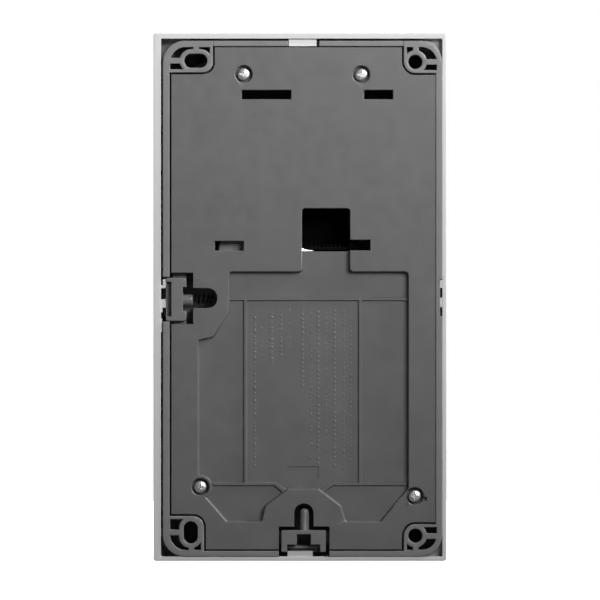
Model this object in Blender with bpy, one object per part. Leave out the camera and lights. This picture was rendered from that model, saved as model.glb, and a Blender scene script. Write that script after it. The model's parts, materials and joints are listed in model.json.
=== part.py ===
"""Wired video doorbell with a removable front cover, modelled as an assembly of its real pieces.

+Z is up and the front faces -Y. The wall side lies in the plane Y = 0, and the origin is its centre.
Every size in this file is in millimetres, and piece() brings the finished shapes to Blender's metres.
"""

import math
from collections import namedtuple

import bmesh
import bpy
from mathutils import Matrix, Vector

MM = 0.001
FAR = 80.0  # reach of a cutter that runs out past the whole object
FIT = 0.3  # clearance between pieces that rest on each other

# Whole object
WIDTH = 75.0
HEIGHT = 135.0
DEPTH = 28.0

# Levels along Y, from the wall towards the front
RIM_Y = -0.3  # rear edge of the front cover
REAR_COVER_Y = -2.4  # inner face of the rear cover
GASKET_Y = (-2.7, -3.5)
LEDGE_Y = -3.8  # ledge of the chassis that carries the gasket
LIP_Y = (-0.9, -4.2)  # tabs and ribs of the front cover that the latches hold
NOSE_Y = (-4.6, -6.6)  # noses of the latches, in front of those tabs
BAY_Y = -9.0  # floor of the two latch bays
BOSS_Y = -11.7  # front end of the screw bosses and latch bays
BOARD_Y = (-12.0, -13.6)
CHASSIS_Y = -16.0  # front edge of the chassis wall
HOUSING_Y = -24.0  # front face of the front housing
HOUSING_INNER_Y = -22.2
FRONT_BOARD_Y = (-16.9, -18.1)
COVER_INNER_Y = -25.8
COVER_FRONT_Y = -27.4

# Front cover: half the outer size, and where the inner faces of its four walls lie
COVER_INNER_LEFT = -36.45
COVER_INNER_RIGHT = 35.8
COVER_INNER_BOTTOM = -66.5
COVER_INNER_TOP = 66.2
COVER_CORNER = 0.5

# Chassis: outer faces of its wall and the rear opening that the rear cover drops into
CHASSIS_LEFT = -36.1
CHASSIS_RIGHT = 35.4
CHASSIS_BOTTOM = -66.15
CHASSIS_TOP = 65.8
CHASSIS_CORNER = 5.6
OPENING_LEFT = -35.05
OPENING_RIGHT = 33.65
OPENING_BOTTOM = -65.0
OPENING_TOP = 64.4
WALL = 1.6
LEDGE = 2.6  # how far the ledge stands inwards from the rear opening
COVER_GAP = 0.38  # groove between the chassis and the rear cover

# Corner ears: inner corner and its radius, screw hole centre, half length of a slotted hole beyond
# its round ends along X and Z, and the centre lines of the two ribs
Ear = namedtuple("Ear", "side up x z radius hole_x hole_z slot_x slot_z rib_x rib_z")
EARS = (
    Ear(1, 1, 22.3, 57.5, 2.5, 26.7, 60.5, 1.15, 0.0, 26.6, 60.5),
    Ear(-1, 1, -26.55, 57.3, 2.9, -29.5, 60.2, 0.0, 0.0, -29.65, 60.2),
    Ear(-1, -1, -26.55, -58.1, 3.0, -29.5, -61.1, 0.0, 0.0, -29.6, -61.2),
    Ear(1, -1, 24.6, -56.05, 2.8, 28.0, -60.25, 0.0, 1.05, 27.8, -60.25),
)
HOLE_RADIUS = 1.8
RING_WALL = 1.2
RIB_WIDTH = 1.45
EAR_WALL = 0.8
EAR_POCKET_Y = -9.0

# Latches in the rear: pocket, channel for the post and stroke
SIDE_POCKET_X = 27.4
SIDE_POCKET_Z = (-6.9, 6.2)
SIDE_CHANNEL_X = 21.25
SIDE_CHANNEL_Z = (-2.8, 2.25)
SIDE_STROKE = 1.5
SIDE_LATCH_X = (SIDE_POCKET_X + SIDE_STROKE + 0.2, 34.35)
SIDE_LATCH_Z = (-6.1, 4.9)
BOTTOM_POCKET_Z = -58.8
BOTTOM_POCKET_X = (-7.5, 5.45)
BOTTOM_CHANNEL_Z = -52.9
BOTTOM_CHANNEL_X = (-3.4, 1.5)
BOTTOM_STROKE = 0.7
BOTTOM_LATCH_X = (-6.6, 4.8)
BOTTOM_LATCH_Z = (-63.4, BOTTOM_POCKET_Z - BOTTOM_STROKE - 0.2)
CHANNEL_ROUND = 2.4
SPRING_Y = -6.9  # both latch springs lie under the posts, on the floor side of the bays
LATCH_REAR_Y = -0.3
FLANGE_Y = (-2.9, -4.4)
FLANGE = 0.6  # how far a latch reaches under the rear cover
FLANGE_SLOT_Y = (-2.5, -4.7)

# Rear cover
REAR_SCREWS = {
    "upper_right": (14.4, 57.1),
    "upper_left": (-15.7, 57.0),
    "lower_right": (25.5, -48.6),
    "lower_left": (-29.4, -50.95),
}
SCREW_SEAT_Y = -1.5
SCREW_SEAT_RADIUS = 2.22
SCREW_HEAD_RADIUS = 1.72
SCREW_SHANK_RADIUS = 0.9
SCREW_HOLE_RADIUS = 1.2
SCREW_BOSS_RADIUS = 3.2
SCREW_COLLAR_RADIUS = 3.0  # wall kept round the lower right screw, inside the wire recess
RECESS_Y = -1.3
RECESS_RIB_Y = -0.8
RECESS_RIB = 0.9
CABLE_X = (-12.8, -0.5)
CABLE_Z = (11.7, 22.7)
SLOTS = (
    (2.3, 14.9, 50.65, 53.0),
    (-23.8, -16.4, 50.65, 53.0),
    (14.4, 21.8, 11.9, 14.35),
    (-18.0, CABLE_X[1] - 1.0, 11.9, 14.65),
)

# Board screws and housing screws
BOARD_SCREWS = ((28.6, 40.0), (-30.0, 40.0), (28.6, -34.0), (-30.0, -34.0))
HOUSING_SCREWS = ((32.9, 44.0), (-33.7, 44.0), (32.9, -44.0), (-33.7, -44.0))

# Front features, as (x, z) centres
CAMERA = (0.0, 40.0)
INFRARED = ((-19.0, 50.0), (19.0, 50.0), (-19.0, 30.0), (19.0, 30.0))
MOTION = (0.0, 2.0)
MICROPHONE = (22.0, 2.0)
BUTTON = (0.0, -26.0)
SPEAKER = (0.0, -52.2)
FASCIA = (-29.0, 29.0, 12.5, 60.0)
MOTION_LENS = (-14.0, 14.0, -4.5, 8.5)
BUTTON_RADIUS = 13.0
BUTTON_STROKE = 1.2
LIGHT_RING_RADIUS = 15.4
GRILLE_PITCH = 3.0
GRILLE_SLOTS = 5
GRILLE_HALF_WIDTH = 8.0
GRILLE_HALF_SLOT = 0.7

QUARTER = 4  # segments in a quarter of a small arc
ROUND = 24  # sides of a turned piece


# ---------------------------------------------------------------- outlines

def outline(*corners, quarter=QUARTER):
    """Closed outline of (x, z) points through corners (x, z) or (x, z, radius)."""
    points = []
    for i, corner in enumerate(corners):
        here = Vector(corner[:2])
        radius = corner[2] if len(corner) > 2 else 0.0
        if radius == 0.0:
            points.append(here)
            continue
        before = (Vector(corners[i - 1][:2]) - here).normalized()
        after = (Vector(corners[(i + 1) % len(corners)][:2]) - here).normalized()
        half = before.angle(after) / 2
        centre = here + (before + after).normalized() * radius / math.sin(half)
        start = here + before * radius / math.tan(half) - centre
        sweep = start.angle_signed(here + after * radius / math.tan(half) - centre)
        steps = max(1, round(quarter * abs(sweep) / (math.pi / 2)))
        points += [centre + Matrix.Rotation(-sweep * k / steps, 2) @ start for k in range(steps + 1)]
    return [p for p, q in zip(points, points[1:] + points[:1]) if (p - q).length > 1e-4]


def rectangle(left, right, bottom, top, radius=0.0, quarter=QUARTER):
    """Rectangle with all its corners rounded alike."""
    return outline(
        (left, bottom, radius), (right, bottom, radius), (right, top, radius), (left, top, radius),
        quarter=quarter,
    )


def slot(x, z, half_x, half_z, radius, quarter=QUARTER):
    """Round hole, stretched by half_x or half_z to each side into a slot."""
    return rectangle(
        x - half_x - radius, x + half_x + radius, z - half_z - radius, z + half_z + radius,
        radius, quarter,
    )


def opening_outline(inset):
    """Rear opening of the chassis drawn in by inset, stepping round the four ears."""
    corners = []
    for ear in EARS:
        edge_x = OPENING_RIGHT - inset if ear.side > 0 else OPENING_LEFT + inset
        edge_z = OPENING_TOP - inset if ear.up > 0 else OPENING_BOTTOM + inset
        x = ear.x - ear.side * inset
        z = ear.z - ear.up * inset
        step = [(edge_x, z), (x, z, ear.radius + inset), (x, edge_z)]
        corners += step if ear.side == ear.up else step[::-1]
    return outline(*corners)


def side_pocket(grow):
    """Pocket and channel of the side latch, open past the +X edge, enlarged by grow."""
    x = SIDE_POCKET_X - grow
    bottom, top = SIDE_POCKET_Z[0] - grow, SIDE_POCKET_Z[1] + grow
    low, high = SIDE_CHANNEL_Z[0] - grow, SIDE_CHANNEL_Z[1] + grow
    end = SIDE_CHANNEL_X - grow
    return outline(
        (FAR, bottom), (FAR, top), (x, top), (x, high), (end, high, CHANNEL_ROUND + grow),
        (end, low, CHANNEL_ROUND + grow), (x, low), (x, bottom),
    )


def bottom_pocket(grow):
    """Pocket and channel of the bottom latch, open past the bottom edge, enlarged by grow."""
    z = BOTTOM_POCKET_Z + grow
    left, right = BOTTOM_POCKET_X[0] - grow, BOTTOM_POCKET_X[1] + grow
    low, high = BOTTOM_CHANNEL_X[0] - grow, BOTTOM_CHANNEL_X[1] + grow
    end = BOTTOM_CHANNEL_Z + grow
    return outline(
        (right, -FAR), (right, z), (high, z), (high, end, CHANNEL_ROUND + grow),
        (low, end, CHANNEL_ROUND + grow), (low, z), (left, z), (left, -FAR),
    )


def wire_recess():
    """Shallow recess in the rear cover that takes the wires, with its neck to the cable opening."""
    left, right = CABLE_X[0] + 0.05, CABLE_X[1] - 0.05
    return outline(
        (-27.75, 6.5, 1.0), (left, 6.5, 0.9), (left, CABLE_Z[0] + 1.0),
        (right, CABLE_Z[0] + 1.0), (right, 6.5, 0.9), (18.2, 6.5, 0.8), (18.2, -3.7),
        (22.2, -10.1), (26.0, -10.9), (26.0, -47.5), (24.2, -51.2), (18.7, -57.5, 0.5),
        (9.75, -57.5, 0.8), (8.9, -53.5, 1.2), (3.1, -49.2, 0.8), (-4.85, -49.2, 0.8),
        (-10.4, -53.4, 1.2), (-11.6, -57.5, 0.8), (-20.7, -57.5, 0.5), (-27.75, -48.9),
    )


# ---------------------------------------------------------------- solids

def raw_object(bm):
    """Helper object in millimetres with its faces turned outwards."""
    bmesh.ops.recalc_face_normals(bm, faces=bm.faces)
    mesh = bpy.data.meshes.new("shape")
    bm.to_mesh(mesh)
    bm.free()
    obj = bpy.data.objects.new("shape", mesh)
    bpy.context.scene.collection.objects.link(obj)
    return obj


def prism(points, rear, front):
    """Solid between the planes Y = rear and Y = front over an outline."""
    bm = bmesh.new()
    face = bm.faces.new([bm.verts.new((x, rear, z)) for x, z in points])
    swept = bmesh.ops.extrude_face_region(bm, geom=[face])["geom"]
    corners = [v for v in swept if isinstance(v, bmesh.types.BMVert)]
    bmesh.ops.translate(bm, vec=(0, front - rear, 0), verts=corners)
    return raw_object(bm)


def box(x, y, z):
    """Box between the two values given for each axis."""
    return prism(rectangle(x[0], x[1], z[0], z[1]), y[0], y[1])


def turned(profile, centre, axis="Y", sides=ROUND, ring=False):
    """Turned solid. profile holds (radius, distance along the axis), and a ring closes on itself."""
    bm = bmesh.new()
    rows = []
    for radius, along in profile:
        row = []
        for k in range(sides if radius > 0 else 1):
            angle = 2 * math.pi * k / sides
            a = centre[0] + radius * math.cos(angle)
            b = centre[1] + radius * math.sin(angle)
            place = {"X": (along, a, b), "Y": (a, along, b), "Z": (a, b, along)}[axis]
            row.append(bm.verts.new(place))
        rows.append(row)
    pairs = list(zip(rows, rows[1:]))
    if ring:
        pairs.append((rows[-1], rows[0]))
    for row, other in pairs:
        for k in range(sides):
            corners = [row[k % len(row)], row[(k + 1) % len(row)]]
            corners += [other[(k + 1) % len(other)], other[k % len(other)]]
            bm.faces.new(dict.fromkeys(corners))
    if not ring:
        for row in (rows[0], rows[-1]):
            if len(row) > 1:
                bm.faces.new(row)
    return raw_object(bm)


def disc(centre, radius, rear, front, sides=ROUND):
    """Round plate or shaft along Y."""
    return turned([(radius, rear), (radius, front)], centre, sides=sides)


def tube(centre, inner, outer, rear, front, sides=ROUND):
    """Plain ring along Y."""
    profile = [(outer, rear), (outer, front), (inner, front), (inner, rear)]
    return turned(profile, centre, sides=sides, ring=True)


def combine(body, tools, operation):
    """Applies one Boolean for each tool to the body and removes the tools."""
    for tool in tools:
        modifier = body.modifiers.new(operation, "BOOLEAN")
        modifier.operation = operation
        modifier.solver = "EXACT"
        modifier.object = tool
    bpy.context.view_layer.update()
    evaluated = body.evaluated_get(bpy.context.evaluated_depsgraph_get())
    mesh = bpy.data.meshes.new_from_object(evaluated)
    body.modifiers.clear()
    body.data = mesh
    for tool in tools:
        bpy.data.objects.remove(tool)
    return body


def cut(body, *tools):
    return combine(body, tools, "DIFFERENCE")


def join(body, *tools):
    return combine(body, tools, "UNION")


# ---------------------------------------------------------------- materials and naming

def material(name, colour, roughness, metallic=0.0, transmission=0.0):
    made = bpy.data.materials.new(name)
    made.use_nodes = True
    made.diffuse_color = (*colour, 1.0)
    shader = made.node_tree.nodes["Principled BSDF"]
    shader.inputs["Base Color"].default_value = (*colour, 1.0)
    shader.inputs["Roughness"].default_value = roughness
    shader.inputs["Metallic"].default_value = metallic
    shader.inputs["Transmission Weight"].default_value = transmission
    return made


def piece(name, shape, finish, body, pivot=(0.0, 0.0, 0.0)):
    """Names a finished shape, puts its origin on the pivot, scales it to metres and parents it."""
    shape.name = name
    shape.data.name = name
    shape.data.transform(Matrix.Scale(MM, 4) @ Matrix.Translation(-Vector(pivot)))
    shape.data.shade_smooth()
    shape.data.set_sharp_from_angle(angle=math.radians(35))
    shape.data.materials.clear()
    shape.data.materials.append(finish)
    attach(shape, body, pivot)
    return shape


def attach(shape, body, pivot):
    """Places the shape at the pivot under the empty of its body."""
    shape.parent = body
    shape.location = Vector(pivot) * MM - body.location


def pivot_empty(name, place):
    empty = bpy.data.objects.new(name, None)
    empty.empty_display_size = 0.01
    empty.location = Vector(place) * MM
    bpy.context.scene.collection.objects.link(empty)
    return empty


def coil(name, axis, centre, start, end, radius, wire, turns, finish, body):
    """Helical compression spring along an axis, as one round wire with closed ends."""
    per_turn = 10
    count = int(turns * per_turn)
    curve = bpy.data.curves.new(name, "CURVE")
    curve.dimensions = "3D"
    curve.bevel_depth = wire / 2 * MM
    curve.bevel_resolution = 0
    curve.use_fill_caps = True
    spline = curve.splines.new("POLY")
    spline.points.add(count)
    inset = wire / 2
    for k, point in enumerate(spline.points):
        angle = 2 * math.pi * k / per_turn
        along = start + inset + (end - start - 2 * inset) * k / count
        a = centre[0] + radius * math.cos(angle)
        b = centre[1] + radius * math.sin(angle)
        place = {"X": (along, a, b), "Y": (a, along, b), "Z": (a, b, along)}[axis]
        point.co = (*(Vector(place) * MM), 1.0)
    shape = bpy.data.objects.new(name, curve)
    bpy.context.scene.collection.objects.link(shape)
    curve.materials.append(finish)
    attach(shape, body, (0.0, 0.0, 0.0))
    return shape


def plain_screw(x, z, top, seat, tip, head_radius, shank_radius, sides=12):
    """Pan-head screw along Y, from the top of its head over its seat to its tip."""
    toward = math.copysign(1.0, top - seat)
    return turned(
        [
            (head_radius * 0.72, top), (head_radius, top - toward * 0.35), (head_radius, seat),
            (shank_radius, seat), (shank_radius, tip + toward * 0.6), (shank_radius * 0.5, tip),
        ],
        (x, z), sides=sides,
    )


def cross_screw(x, z, top, seat, tip):
    """Screw of the rear cover, with its cross recess."""
    shape = plain_screw(x, z, top, seat, tip, SCREW_HEAD_RADIUS, SCREW_SHANK_RADIUS, sides=20)
    arm, half, depth = SCREW_HEAD_RADIUS * 0.6, 0.24, 0.65
    along = rectangle(x - arm, x + arm, z - half, z + half)
    across = rectangle(x - half, x + half, z - arm, z + arm)
    return cut(shape, prism(along, 1.0, top - depth), prism(across, 1.0, top - depth))


# ---------------------------------------------------------------- enclosure

def grille(rear, front):
    """Speaker slots, as cutters between two planes."""
    middle = (GRILLE_SLOTS - 1) / 2
    return [
        prism(
            slot(SPEAKER[0], SPEAKER[1] + (k - middle) * GRILLE_PITCH,
                 GRILLE_HALF_WIDTH, 0.0, GRILLE_HALF_SLOT, 3),
            rear, front,
        )
        for k in range(GRILLE_SLOTS)
    ]


def front_cover():
    """White outer shell: four walls, a front with its openings, and the tabs that the latches hold."""
    half_x, half_z = WIDTH / 2, HEIGHT / 2
    shell = prism(rectangle(-half_x, half_x, -half_z, half_z, COVER_CORNER, 2), RIM_Y, COVER_FRONT_Y)
    inside = rectangle(COVER_INNER_LEFT, COVER_INNER_RIGHT, COVER_INNER_BOTTOM, COVER_INNER_TOP)
    cut(shell, prism(inside, 1.0, COVER_INNER_Y))
    through = (COVER_INNER_Y + 1.0, COVER_FRONT_Y - 1.0)
    cut(
        shell,
        prism(rectangle(*FASCIA, 6.0), *through),
        prism(rectangle(*MOTION_LENS, 3.0), *through),
        disc(MICROPHONE, 1.0, *through, sides=12),
        disc(BUTTON, LIGHT_RING_RADIUS + FIT, *through, sides=40),
        *grille(*through),
    )
    tabs = [
        box((-4.25, 2.4), (LIP_Y[0], -3.2), (64.5, COVER_INNER_TOP + 0.4)),
        box((-3.1, 3.0), LIP_Y, (COVER_INNER_BOTTOM - 0.4, -65.0)),
        box((34.7, COVER_INNER_RIGHT + 0.4), LIP_Y, (2.3, 4.5)),
        box((34.7, COVER_INNER_RIGHT + 0.4), LIP_Y, (-2.85, -0.45)),
    ]
    return join(shell, *tabs)


def ear_pockets(ear):
    """Deep pockets of one corner ear, left between its walls, its two ribs and its screw ring."""
    outer_x = CHASSIS_RIGHT - WALL if ear.side > 0 else CHASSIS_LEFT + WALL
    outer_z = CHASSIS_TOP - WALL if ear.up > 0 else CHASSIS_BOTTOM + WALL
    inner_x = ear.x + ear.side * EAR_WALL
    inner_z = ear.z + ear.up * EAR_WALL
    area = outline(
        (inner_x, inner_z, ear.radius - EAR_WALL), (outer_x, inner_z),
        (outer_x, outer_z, CHASSIS_CORNER - WALL), (inner_x, outer_z),
    )
    pockets = prism(area, 1.0, EAR_POCKET_Y)
    half = RIB_WIDTH / 2
    rib_x = sorted((ear.hole_x, ear.side * FAR))
    rib_z = sorted((ear.hole_z, ear.up * FAR))
    ring = slot(ear.hole_x, ear.hole_z, ear.slot_x, ear.slot_z, HOLE_RADIUS + RING_WALL)
    return cut(
        pockets,
        prism(ring, 2.0, EAR_POCKET_Y - 1.0),
        box(rib_x, (2.0, EAR_POCKET_Y - 1.0), (ear.rib_z - half, ear.rib_z + half)),
        box((ear.rib_x - half, ear.rib_x + half), (2.0, EAR_POCKET_Y - 1.0), rib_z),
    )


def screw_bosses():
    """Bosses for the rear and board screws, each tied to the nearest wall."""
    tops = (LEDGE_Y + 2.0, BOSS_Y)
    shapes = []
    for name, (x, z) in REAR_SCREWS.items():
        shapes.append(disc((x, z), SCREW_BOSS_RADIUS, *tops, sides=20))
        half = SCREW_BOSS_RADIUS * 0.8
        if name.startswith("upper"):
            shapes.append(box((x - half, x + half), tops, (z, FAR)))
        else:
            reach = sorted((x, math.copysign(FAR, x)))
            shapes.append(box(reach, tops, (z - half, z + half)))
    for x, z in BOARD_SCREWS:
        shapes.append(disc((x, z), 2.6, *tops, sides=20))
        reach = sorted((x, math.copysign(FAR, x)))
        shapes.append(box(reach, tops, (z - 2.0, z + 2.0)))
    return shapes


def chassis():
    """Dark frame: rounded wall, square corner flange, gasket ledge, ears, latch bays and bosses."""
    area = (CHASSIS_LEFT, CHASSIS_RIGHT, CHASSIS_BOTTOM, CHASSIS_TOP)
    frame = prism(rectangle(*area, CHASSIS_CORNER, 8), 0.0, CHASSIS_Y)
    join(frame, prism(rectangle(*area), -4.5, -6.0))
    grow = LEDGE + 0.6
    cavity = prism(opening_outline(LEDGE), LEDGE_Y + 0.5, CHASSIS_Y - 1.0)
    behind = (LEDGE_Y + 2.0, BOSS_Y)
    cut(cavity, prism(side_pocket(grow), *behind), prism(bottom_pocket(grow), *behind))
    cut(cavity, *screw_bosses())
    cut(frame, prism(opening_outline(0.0), 1.0, LEDGE_Y), cavity)
    flange = FLANGE + FIT
    cut(
        frame,
        prism(side_pocket(0.0), 1.0, BAY_Y),
        prism(bottom_pocket(0.0), 1.0, BAY_Y),
        box((SIDE_POCKET_X, FAR), FLANGE_SLOT_Y, (SIDE_POCKET_Z[0] - flange, SIDE_POCKET_Z[1] + flange)),
        box((BOTTOM_POCKET_X[0] - flange, BOTTOM_POCKET_X[1] + flange), FLANGE_SLOT_Y,
            (-FAR, BOTTOM_POCKET_Z)),
        box((-4.9, 3.4), (1.0, -3.6), (OPENING_TOP - 0.3, FAR)),
    )
    for ear in EARS:
        hole = slot(ear.hole_x, ear.hole_z, ear.slot_x, ear.slot_z, HOLE_RADIUS)
        cut(frame, ear_pockets(ear), prism(hole, 1.0, CHASSIS_Y - 1.0))
    cut(
        frame,
        *[disc(at, SCREW_HOLE_RADIUS, -3.0, -10.6, sides=12) for at in REAR_SCREWS.values()],
        *[disc(at, 1.3, BOSS_Y - 1.0, -6.0, sides=12) for at in BOARD_SCREWS],
        *[disc(at, 1.3, CHASSIS_Y - 1.0, -9.5, sides=12) for at in HOUSING_SCREWS],
    )
    return frame


def rear_gasket():
    """Flat seal between the ledge and the rear cover, led round both latch pockets."""
    near, wide = 1.3, 1.2
    ring = prism(opening_outline(0.7), *GASKET_Y)
    through = (GASKET_Y[0] + 1.0, GASKET_Y[1] - 1.0)
    beyond = (through[0] + 1.0, through[1] - 1.0)
    cut(ring, prism(side_pocket(near), *through), prism(bottom_pocket(near), *through))
    inside = prism(opening_outline(0.7 + wide), *through)
    cut(inside, prism(side_pocket(near + wide), *beyond), prism(bottom_pocket(near + wide), *beyond))
    return cut(ring, inside)


def rear_cover():
    """Flat cover screwed on from behind, with the wire recess, cable opening, slots and label field."""
    plate = prism(opening_outline(COVER_GAP), 0.0, REAR_COVER_Y)
    through = (1.0, REAR_COVER_Y - 1.0)
    recess = prism(wire_recess(), 1.0, RECESS_Y)
    cut(recess, disc(REAR_SCREWS["lower_right"], SCREW_COLLAR_RADIUS, 2.0, RECESS_Y - 1.0, sides=20))
    cut(plate, recess, prism(side_pocket(0.0), *through), prism(bottom_pocket(0.0), *through))
    half = RECESS_RIB / 2
    level = (RECESS_Y - 0.4, RECESS_RIB_Y)
    join(
        plate,
        box((-27.9, 18.3), level, (-0.5 - half, -0.5 + half)),
        box((14.0 - half, 14.0 + half), level, (-48.0, -0.5)),
        box((-15.4 - half, -15.4 + half), level, (-48.0, -0.5)),
        box((6.4, 22.3), level, (-48.0 - half, -48.0 + half)),
        box((-27.4, -8.2), level, (-48.0 - half, -48.0 + half)),
    )
    cut(
        plate,
        box((-4.8, 3.55), (1.0, RECESS_Y - 0.3), (-46.3, -43.3)),
        prism(rectangle(CABLE_X[0], CABLE_X[1], CABLE_Z[0], CABLE_Z[1], 0.0), *through),
        *[box((left, right), through, (low, high)) for left, right, low, high in SLOTS],
    )
    for at in REAR_SCREWS.values():
        cut(
            plate,
            disc(at, SCREW_SEAT_RADIUS, 1.0, SCREW_SEAT_Y),
            disc(at, SCREW_HOLE_RADIUS, 1.0, REAR_COVER_Y - 1.0, sides=12),
        )
    return plate


def front_housing():
    """Dark tray that closes the chassis towards the front and carries the camera side."""
    area = (CHASSIS_LEFT, CHASSIS_RIGHT, CHASSIS_BOTTOM, CHASSIS_TOP)
    tray = prism(rectangle(*area, CHASSIS_CORNER, 8), CHASSIS_Y - FIT, HOUSING_Y)
    cut(tray, prism(opening_outline(LEDGE), CHASSIS_Y + 1.0, HOUSING_INNER_Y))
    through = (HOUSING_INNER_Y + 1.0, HOUSING_Y - 1.0)
    cut(
        tray,
        disc(CAMERA, 6.6, *through),
        disc(MOTION, 5.2, *through),
        disc(MICROPHONE, 3.3, *through, sides=16),
        disc(BUTTON, 15.2, *through, sides=40),
        *[disc(at, 2.9, *through, sides=16) for at in INFRARED],
        *grille(*through),
    )
    for ear in EARS:
        driver = slot(ear.hole_x, ear.hole_z, ear.slot_x, ear.slot_z, 3.2)
        cut(tray, prism(driver, CHASSIS_Y + 1.0, HOUSING_Y - 1.0))
    for at in HOUSING_SCREWS:
        cut(
            tray,
            disc(at, 1.3, CHASSIS_Y + 1.0, HOUSING_Y - 1.0, sides=12),
            disc(at, 2.1, HOUSING_Y + 1.5, HOUSING_Y - 1.0, sides=12),
        )
    return tray


# ---------------------------------------------------------------- latches

def side_latch():
    """Sliding latch in the +X wall: grooved finger block, guide post, side flanges and nose."""
    x, z = SIDE_LATCH_X, SIDE_LATCH_Z
    block = box(x, (LATCH_REAR_Y, NOSE_Y[1]), z)
    join(
        block,
        box((x[0], x[1] - 1.6), FLANGE_Y, (SIDE_POCKET_Z[0] - FLANGE, SIDE_POCKET_Z[1] + FLANGE)),
        box((x[1] - 0.5, 35.45), NOSE_Y, (z[0] + 1.0, z[1] - 1.0)),
    )
    cut(
        block,
        box((x[0] - 1.0, x[0] + 0.9), (1.0, -5.6), (-3.65, 2.6)),
        box((x[1] - 1.45, x[1] - 0.35), (1.0, -2.6), (z[0] + 1.1, z[1] - 0.95)),
    )
    post = turned([(1.5, x[0] + 1.2), (1.5, 27.7), (1.2, 27.4)], (-2.6, -0.7), "X", 16)
    return join(block, post)


def bottom_latch():
    """Sliding latch in the bottom wall: windowed block with two legs, round post and nose."""
    x, z = BOTTOM_LATCH_X, BOTTOM_LATCH_Z
    block = box(x, (LATCH_REAR_Y, NOSE_Y[1]), z)
    leg = 1.5
    join(
        block,
        box((x[0], x[0] + leg), (LATCH_REAR_Y, -4.0), (-65.3, z[0] + 0.5)),
        box((x[1] - leg, x[1]), (LATCH_REAR_Y, -4.0), (-65.3, z[0] + 0.5)),
        box((BOTTOM_POCKET_X[0] - FLANGE, BOTTOM_POCKET_X[1] + FLANGE), FLANGE_Y, z),
        box((x[0] + leg + 0.2, x[1] - leg - 0.2), NOSE_Y, (-65.5, z[0] + 0.5)),
    )
    cut(block, box((-2.8, 0.8), (1.0, -3.2), (-62.9, -60.7)))
    post = turned(
        [(1.18, z[1] - 0.5), (1.18, -54.9), (0.9, -54.35), (0.35, -54.1)], (-1.1, -1.9), "Z", 16,
    )
    return join(block, post)


# ---------------------------------------------------------------- front pieces

def fascia_panel():
    """Smoked panel round the camera, held behind the cover's front by its flange."""
    left, right, low, high = FASCIA
    panel = prism(rectangle(left + FIT, right - FIT, low + FIT, high - FIT, 5.7), -24.6, -27.1)
    flange = rectangle(left - 1.5, right + 1.5, low - 1.5, high + 1.5, 7.5)
    join(panel, prism(flange, -24.6, -25.5))
    return cut(panel, disc(CAMERA, 13.0, -23.0, -29.0, sides=40))


def camera_bezel():
    profile = [(12.7, -24.7), (12.7, -27.3), (9.2, -27.3), (9.2, -26.7), (10.3, -26.7), (10.3, -24.7)]
    return turned(profile, CAMERA, sides=40, ring=True)


def camera_window():
    profile = [(10.0, -24.9), (10.0, -26.1), (8.9, -26.4), (4.5, -26.6), (0.0, -26.65)]
    return turned(profile, CAMERA, sides=32)


def lens_barrel():
    profile = [
        (4.6, -16.6), (4.6, -21.3), (6.0, -21.3), (6.0, -24.2), (4.0, -24.2), (3.0, -23.0),
        (3.0, -16.6),
    ]
    return turned(profile, CAMERA, ring=True)


def lens_element():
    profile = [(2.7, -22.2), (2.7, -22.8), (2.2, -23.3), (1.2, -23.6), (0.0, -23.7)]
    return turned(profile, CAMERA, sides=20)


def lens_holder():
    x, z = CAMERA
    base = box((x - 7.0, x + 7.0), (-15.7, -17.4), (z - 7.0, z + 7.0))
    join(base, disc(CAMERA, 6.2, -17.0, -21.0))
    return cut(base, disc(CAMERA, 4.9, -14.0, -23.0))


def front_board():
    """Board for the infrared lamps, motion sensor, microphone and button switch."""
    board = prism(
        outline((-24.5, 54.2), (-24.5, -8.0), (-10.0, -8.0), (-10.0, -40.0), (10.0, -40.0),
                (10.0, -8.0), (24.5, -8.0), (24.5, 54.2)),
        *FRONT_BOARD_Y,
    )
    return cut(board, disc(CAMERA, 10.4, FRONT_BOARD_Y[0] + 1.0, FRONT_BOARD_Y[1] - 1.0))


def infrared_lamp(at):
    profile = [(2.5, -18.4), (2.5, -22.6), (2.2, -23.5), (1.2, -24.1), (0.0, -24.25)]
    return turned(profile, at, sides=16)


def motion_sensor():
    profile = [(4.6, -18.4), (4.6, -19.2), (4.1, -19.2), (4.1, -24.2)]
    return turned(profile, MOTION, sides=20)


def motion_lens():
    """Translucent lens over the motion sensor, with ridges behind and a retaining flange."""
    left, right, low, high = MOTION_LENS
    lens = prism(rectangle(left + FIT, right - FIT, low + FIT, high - FIT, 2.7), -24.9, -27.2)
    flange = rectangle(left - 1.2, right + 1.2, low - 1.2, high + 1.2, 4.0)
    join(lens, prism(flange, -24.9, -25.5))
    return cut(lens, prism(rectangle(left + 1.5, right - 1.5, low + 1.5, high - 1.5, 1.8), -24.0, -26.2))


def microphone_boot():
    return tube(MICROPHONE, 1.0, 3.0, -19.6, -25.5, sides=16)


def button_guide():
    """Cup behind the button, with a hole for its stem and a flange on the front housing."""
    profile = [
        (3.0, -20.9), (14.9, -20.9), (14.9, -24.3), (16.6, -24.3), (16.6, -24.7), (13.7, -24.7),
        (13.7, -21.9), (3.0, -21.9),
    ]
    return turned(profile, BUTTON, sides=40, ring=True)


def button_light_ring():
    """Light guide round the button, flush in the cover."""
    inner = BUTTON_RADIUS + 0.4
    profile = [
        (inner, -25.0), (16.9, -25.0), (16.9, -25.5), (LIGHT_RING_RADIUS, -25.5),
        (LIGHT_RING_RADIUS, -27.3), (inner, -27.3),
    ]
    return turned(profile, BUTTON, sides=40, ring=True)


def button_cap():
    """Round push button with a dished face and the stem that works the switch."""
    profile = [
        (0.0, -27.55), (6.0, -27.65), (11.0, -DEPTH), (12.5, -DEPTH), (BUTTON_RADIUS, -27.6),
        (BUTTON_RADIUS, -25.4), (11.8, -25.4), (11.8, -26.2), (2.4, -26.2), (2.4, -21.9),
        (0.0, -21.9),
    ]
    return turned(profile, BUTTON, sides=40)


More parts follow.
